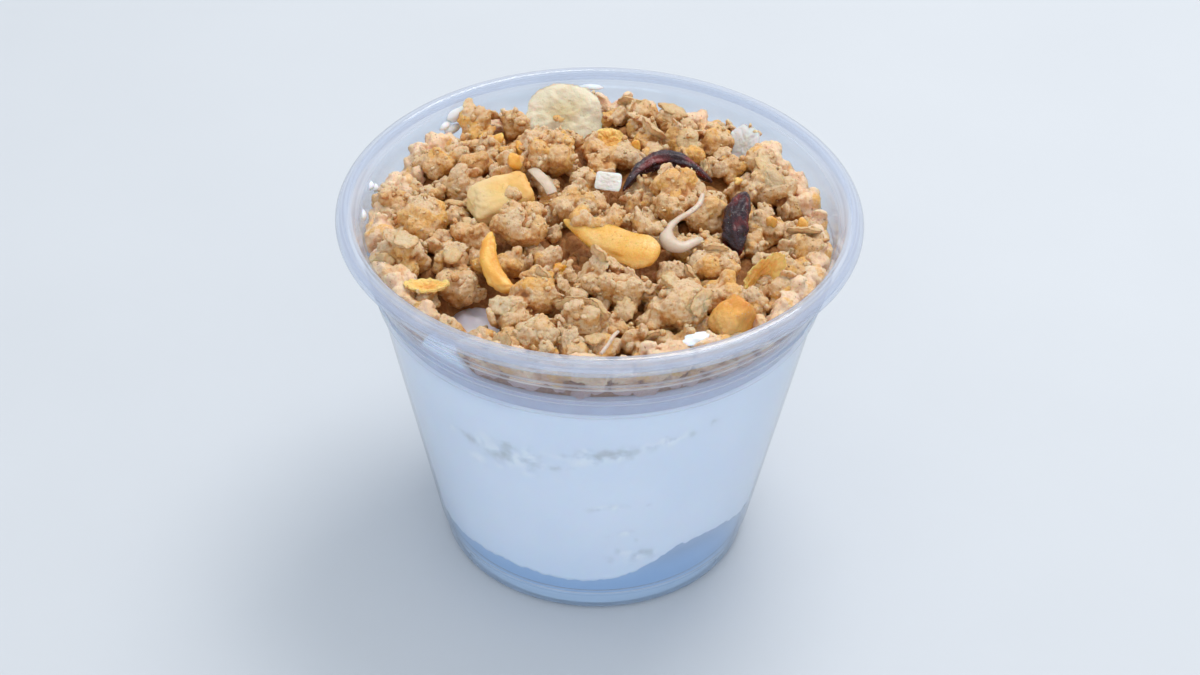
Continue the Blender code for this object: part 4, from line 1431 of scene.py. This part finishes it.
# %% Fruit finish
def fruit(name, deep, plain, light, gloss=0.35, sugar=0.0, depth=0.0003):
    """Dried fruit: deep in the folds, light where it is thin, dusted with sugar."""
    finish = Finish(name)
    tone = finish.reads("tone")
    stain = finish.grain(0.0030, 3)
    skin = finish.grain(0.0006, 3, 0.6)
    shades = finish.ramp(stain * 0.5 + tone * 0.5, (0.28, deep), (0.5, plain), (0.76, light))
    grains = finish.cells(0.00055).between(0.24, 0.14) * finish.grain(0.002).between(0.5, 0.62)
    sugared = finish.blend(grains * sugar, shades, (0.92, 0.88, 0.82))
    finish.wear(Base_Color=sugared, Roughness=skin.between(0.3, 0.7, gloss, gloss + 0.2),
                Subsurface_Weight=0.45, Subsurface_Scale=0.0018,
                Normal=finish.bump(skin * 0.6 + grains * 0.8, depth))
    return finish


banana = fruit("dried_banana", (0.60, 0.47, 0.26), (0.67, 0.57, 0.39), (0.72, 0.64, 0.48), 0.5)
pale = fruit("dried_pear", (0.60, 0.57, 0.50), (0.67, 0.66, 0.63), (0.72, 0.72, 0.71), 0.4,
             0.0, 0.0001)
pineapple = fruit("dried_pineapple", (0.72, 0.36, 0.06), (0.75, 0.48, 0.16),
                  (0.76, 0.57, 0.29), 0.32, 0.15, 0.0002)
mango = fruit("dried_mango", (0.70, 0.28, 0.025), (0.82, 0.42, 0.07), (0.90, 0.60, 0.19), 0.28)
apple = fruit("golden_slice", (0.68, 0.30, 0.03), (0.80, 0.45, 0.10), (0.86, 0.58, 0.23), 0.20)
papaya = fruit("dried_papaya", (0.62, 0.23, 0.025), (0.75, 0.36, 0.065), (0.80, 0.47, 0.15),
               0.36, 0.7, 0.0004)
berry = fruit("dried_cranberry", (0.010, 0.002, 0.006), (0.028, 0.004, 0.009),
              (0.26, 0.020, 0.012), 0.14, 0.35, 0.0004)
flake = fruit("corn_flake", (0.70, 0.31, 0.045), (0.84, 0.46, 0.10), (0.90, 0.60, 0.20), 0.32,
              0.0, 0.0004)
# The flesh of the shred and strips is darker and warmer than the dry chip: partly toasted
# colour, partly painted shade.
coconut = fruit("coconut_flesh", (0.48, 0.35, 0.23), (0.60, 0.48, 0.37), (0.68, 0.60, 0.51),
                0.3, 0.0, 0.00015)
coconut_white = fruit("coconut_dry", (0.64, 0.57, 0.50), (0.72, 0.67, 0.61), (0.78, 0.74, 0.70),
                      0.4, 0.0, 0.0001)

# %% Make the toppings
topping("banana_chip", "banana", banana, (40, 0), chip, 0.0016,
        ripple=0.0004, ragged=0.06, blister=0.0004)
topping("pale_chip", "banana", pale, (48, 0), chip, 0.0008,
        curl=0.0006, ragged=0.08, blister=0.00015, square=3.2)
topping("pineapple_chunk", "pineapple", pineapple, (20, -4), cube, 0.0056,
        roundness=4.4, wedge=0.55, rough=0.10)
topping("mango_strip", "mango", mango, (10, 32), pebble, 0.0032,
        bend=0.0020, taper=0.35, wrinkle=0.18, crease=0.0018, blunt=(0.6, 0.5))
topping("apple_slice", "apple", apple, (26, 0), pebble, 0.0044,
        bend=0.0006, taper=0.70, wrinkle=0.09, crease=0.0024, blunt=(1.0, 0.55))
topping("cranberry_back", "cranberry", berry, (25, 0), pebble, 0.0032,
        bend=-0.0056, slim=0.74, bump=0.25, wrinkle=0.24, crease=0.0018)
topping("cranberry_side", "cranberry", berry, (0, -32), pebble, 0.0050,
        bend=-0.0012, slim=0.85, bump=0.25, wrinkle=0.24, crease=0.0018)
topping("papaya_chunk", "papaya", papaya, (8, -22), cube, 0.0060,
        roundness=3.2, wedge=0.4, rough=0.16)
topping("corn_flake_left", "corn_flake", flake, (-12, 0), chip, 0.0008,
        curl=0.0010, roll=0.0006, blister=0.0004)
topping("corn_flake_right", "corn_flake", flake, (56, -34), chip, 0.0010,
        curl=0.0024, roll=0.0020, ragged=0.12, blister=0.0005)
topping("corn_flake_back", "corn_flake", flake, (26, 0), chip, 0.0009,
        curl=0.0010, roll=0.0008, blister=0.0004)
topping("coconut_chip", "coconut", coconut_white, (32, 0), chip, 0.0006,
        ragged=0.04, blister=0.0001, square=6.0)


# %% Coconut shred
def smooth_path(points, steps=8):
    """Points along a smooth curve through all the given ones."""
    path = []
    ends = [points[0]] + list(points) + [points[-1]]
    for before, start, end, after in zip(ends, ends[1:], ends[2:], ends[3:]):
        for index in range(steps):
            t = index / steps
            path.append(0.5 * (2 * start + (end - before) * t
                               + (2 * before - 5 * start + 4 * end - after) * t * t
                               + (3 * start - before - 3 * end + after) * t ** 3))
    return path + [points[-1]]


def strand(path, radius_at, flat=1.0, sides=12):
    """Tube along a path; radius_at gives its radius for a share of its length."""
    points = []
    for index, place in enumerate(path):
        along = (path[min(index + 1, len(path) - 1)] - path[max(index - 1, 0)]).normalized()
        across = along.cross(Vector((0, 0, 1))).normalized()
        up = across.cross(along)
        radius = radius_at(index / (len(path) - 1))
        points += [place + across * radius * cos + up * radius * flat * sin
                   for cos, sin in circle(sides)]
    count = len(path)
    caps = [tuple(range(sides))[::-1], tuple(range((count - 1) * sides, count * sides))]
    return np.array(points), tube_faces(count, sides) + caps


# %% Make the shred
# Its middle line, in millimetres.
CURL = ((18.3, 1.7, 73.2), (17.6, -0.9, 72.8), (16.0, -2.8, 72.4), (13.8, -4.6, 72.0),
        (12.0, -6.9, 71.3), (12.2, -9.7, 70.7), (14.3, -10.7, 70.4), (16.5, -9.6, 70.6),
        (18.0, -8.2, 70.4))
bends = [Vector(bend) / 1000 for bend in CURL]


def shred_radius(share):
    """Thin at its far end, swollen where it turns, and thicker in its near arm."""
    swell = 0.0009 * math.exp(-((share - 0.62) / 0.13) ** 2)
    near_arm = 0.00035 * min(1.0, max(0.0, share * 4 - 2))
    return (0.00052 + swell + near_arm) * (1 - 0.45 * abs(share * 2 - 1) ** 12)


shred_points, shred_faces = strand(smooth_path(bends), shred_radius, 0.8)
shred_mesh = mesh_of("coconut_shred_real", shred_points.tolist(), shred_faces)
tinge(shred_mesh, np.full(len(shred_points), 0.5))
dress("coconut_shred_real", shred_mesh, [coconut], "coconut", "coconut_shred")

# %% [markdown]
# ## Crumbs
#
# Crumbs break off and settle on whatever faces up, the fruit too, so they come after the
# toppings. Each is a small uneven ball sunk a little into the surface under it.

# %% Crumbs
CRUMB_COUNT, FRUIT_CRUMB_COUNT = 900, 110
crumbs = Pile()
crumb_points, crumb_faces = ball(1)
fruit_skins = [mesh for mesh in bpy.data.meshes if mesh.name.endswith("_real")]
crumb_spots = surface_spots(heap_skins, CRUMB_COUNT, draw, 0.25)
crumb_spots += surface_spots(fruit_skins, FRUIT_CRUMB_COUNT, draw, 0.25)
for place, normal in crumb_spots:
    size = 0.00022 + 0.00065 * draw.random() ** 3
    sizes = (size * draw.uniform(1.0, 1.7), size, size * draw.uniform(0.6, 0.9))
    shape = placed(crumb_points * (1 + np.array([[0.25 * draw.uniform(-1, 1)]
                                                 for _ in crumb_points])),
                   sizes, any_spin(draw), place + normal * size * 0.35)
    crumbs.add(confined(shape), crumb_faces, draw.random())
crumb_finish = toasted("granola_crumb", (0.76, 0.56, 0.35), (0.72, 0.41, 0.155),
                       (0.52, 0.20, 0.045))
dress("granola_crumbs", crumbs.mesh("granola_crumbs"), [crumb_finish], "granola", "granola")

# %% [markdown]
# ## Small things without a solid of their own
#
# A white strip and a pale shred of coconut, bits of fruit, a dab of yogurt on the granola
# and the smears that the spoon left on the wall are too small for the CAD model. Each kind
# is one joined mesh. The strips follow short curves, the bits are wrinkled balls, and a
# smear is a thin patch that follows the wall, raised in its middle and ragged at its edge.

# %% Coconut strips
strips = Pile()
# Half width, flatness and the path in millimetres of each.
for width, flat, places in (
        (0.0012, 0.22, ((-12.4, 12.2, 70.8), (-11.2, 9.8, 71.2), (-9.7, 7.4, 71.0),
                        (-8.6, 5.6, 70.0))),
        (0.00036, 0.8, ((3.4, -34.0, 69.4), (2.6, -36.0, 69.9), (1.8, -37.8, 69.6),
                        (0.6, -39.6, 69.0)))):
    path = smooth_path([Vector(place) / 1000 for place in places])
    points, faces = strand(path, lambda share: width * (1 - 0.1 * abs(share * 2 - 1)), flat)
    strips.add(points, faces)
dress("coconut_strips", strips.mesh("coconut_strips"), [coconut], "coconut")

# %% Fruit bits
# Place from above and radius of each, in millimetres.
GOLDEN_BITS = ((23.0, 12.0, 1.9), (24.3, 8.9, 1.3), (30.7, 0.4, 1.4), (36.0, -2.1, 1.5),
               (-6.8, -14.8, 1.5), (12.9, -35.6, 1.3), (24.9, 11.6, 1.2), (33.0, -1.2, 1.0))
ORANGE_BITS = ((-19.4, 24.3, 1.7), (-15.4, 22.1, 1.6), (-15.6, 11.4, 1.7), (-21.6, 26.4, 1.1),
               (6.2, 21.0, 1.2))


def bits(name, places, finish, slot):
    """Small wrinkled bits of fruit half sunk into the clusters, as one piece."""
    pile = Pile()
    bit_points, bit_faces = ball(3)
    for x, y, radius in places:
        place, normal = on_heap(x / 1000, y / 1000)
        size = radius / 1000
        wrinkles = np.array([[1 + 0.45 * noise.noise(Vector(p * 1.3) + Vector((x, y, 0)))]
                             for p in bit_points])
        pile.add(placed(bit_points * wrinkles, (size, size * 0.7, size * 0.55), any_spin(draw),
                        place + normal * size * 0.25), bit_faces, draw.random())
    dress(name, pile.mesh(name), [finish], slot)


bits("golden_bits", GOLDEN_BITS, apple, "apple")
bits("orange_bits", ORANGE_BITS, mango, "mango")

# %% Yogurt smears
# Azimuth in degrees, height, half width and half height of each.
SMEARS = ((129, 0.0690, 0.0032, 0.0014), (134, 0.0679, 0.0013, 0.0008),
          (132, 0.0666, 0.0020, 0.0010), (168, 0.0688, 0.0011, 0.0008),
          (179, 0.0680, 0.0013, 0.0010), (166, 0.0674, 0.0010, 0.0008),
          (101, 0.0690, 0.0040, 0.0007), (93, 0.0694, 0.0026, 0.0006))
DAB_PLACE = (0.0170, -0.0334)
DAB_SIZE = (0.0027, 0.0011, 0.0007)
SMEAR_SUNK, SMEAR_THICK = 0.0001, 0.0006
PATCH_RINGS, PATCH_STEPS = 8, 28
smears = Pile()
for at, height, half_width, half_height in SMEARS:
    points = []
    for _, share, angle in round_sheet(PATCH_RINGS, PATCH_STEPS, (1,)):
        cos, sin = math.cos(angle), math.sin(angle)
        uneven = 1 + 0.25 * share * wobble(cos * 1.4, sin * 1.4, at)
        z = height + share * uneven * sin * half_height
        wall = inner_radius(z) + STEP_OUT
        azimuth = math.radians(at) + share * uneven * cos * half_width / wall
        out = wall + SMEAR_SUNK - SMEAR_THICK * (1 - share ** 2)
        points.append((out * math.cos(azimuth), out * math.sin(azimuth), z))
    smears.add(np.array(points), tube_faces(PATCH_RINGS, PATCH_STEPS), 0.0)
place, normal = on_heap(*DAB_PLACE)
dab_points, dab_faces = ball(4)
folds = np.array([[1 + 0.5 * noise.noise(Vector(p * 1.6))] for p in dab_points])
smears.add(placed(dab_points * folds, DAB_SIZE, Euler((0.3, 0.0, 0.4)), place), dab_faces, 0.0)
smear_mesh = smears.mesh("yogurt_smears")
# The smears and the dab all count as wall, so they don't get the yogurt top's painted shade.
tinge(smear_mesh, np.ones(smears.count), "wall")
dress("yogurt_smears", smear_mesh, [white], "yogurt")
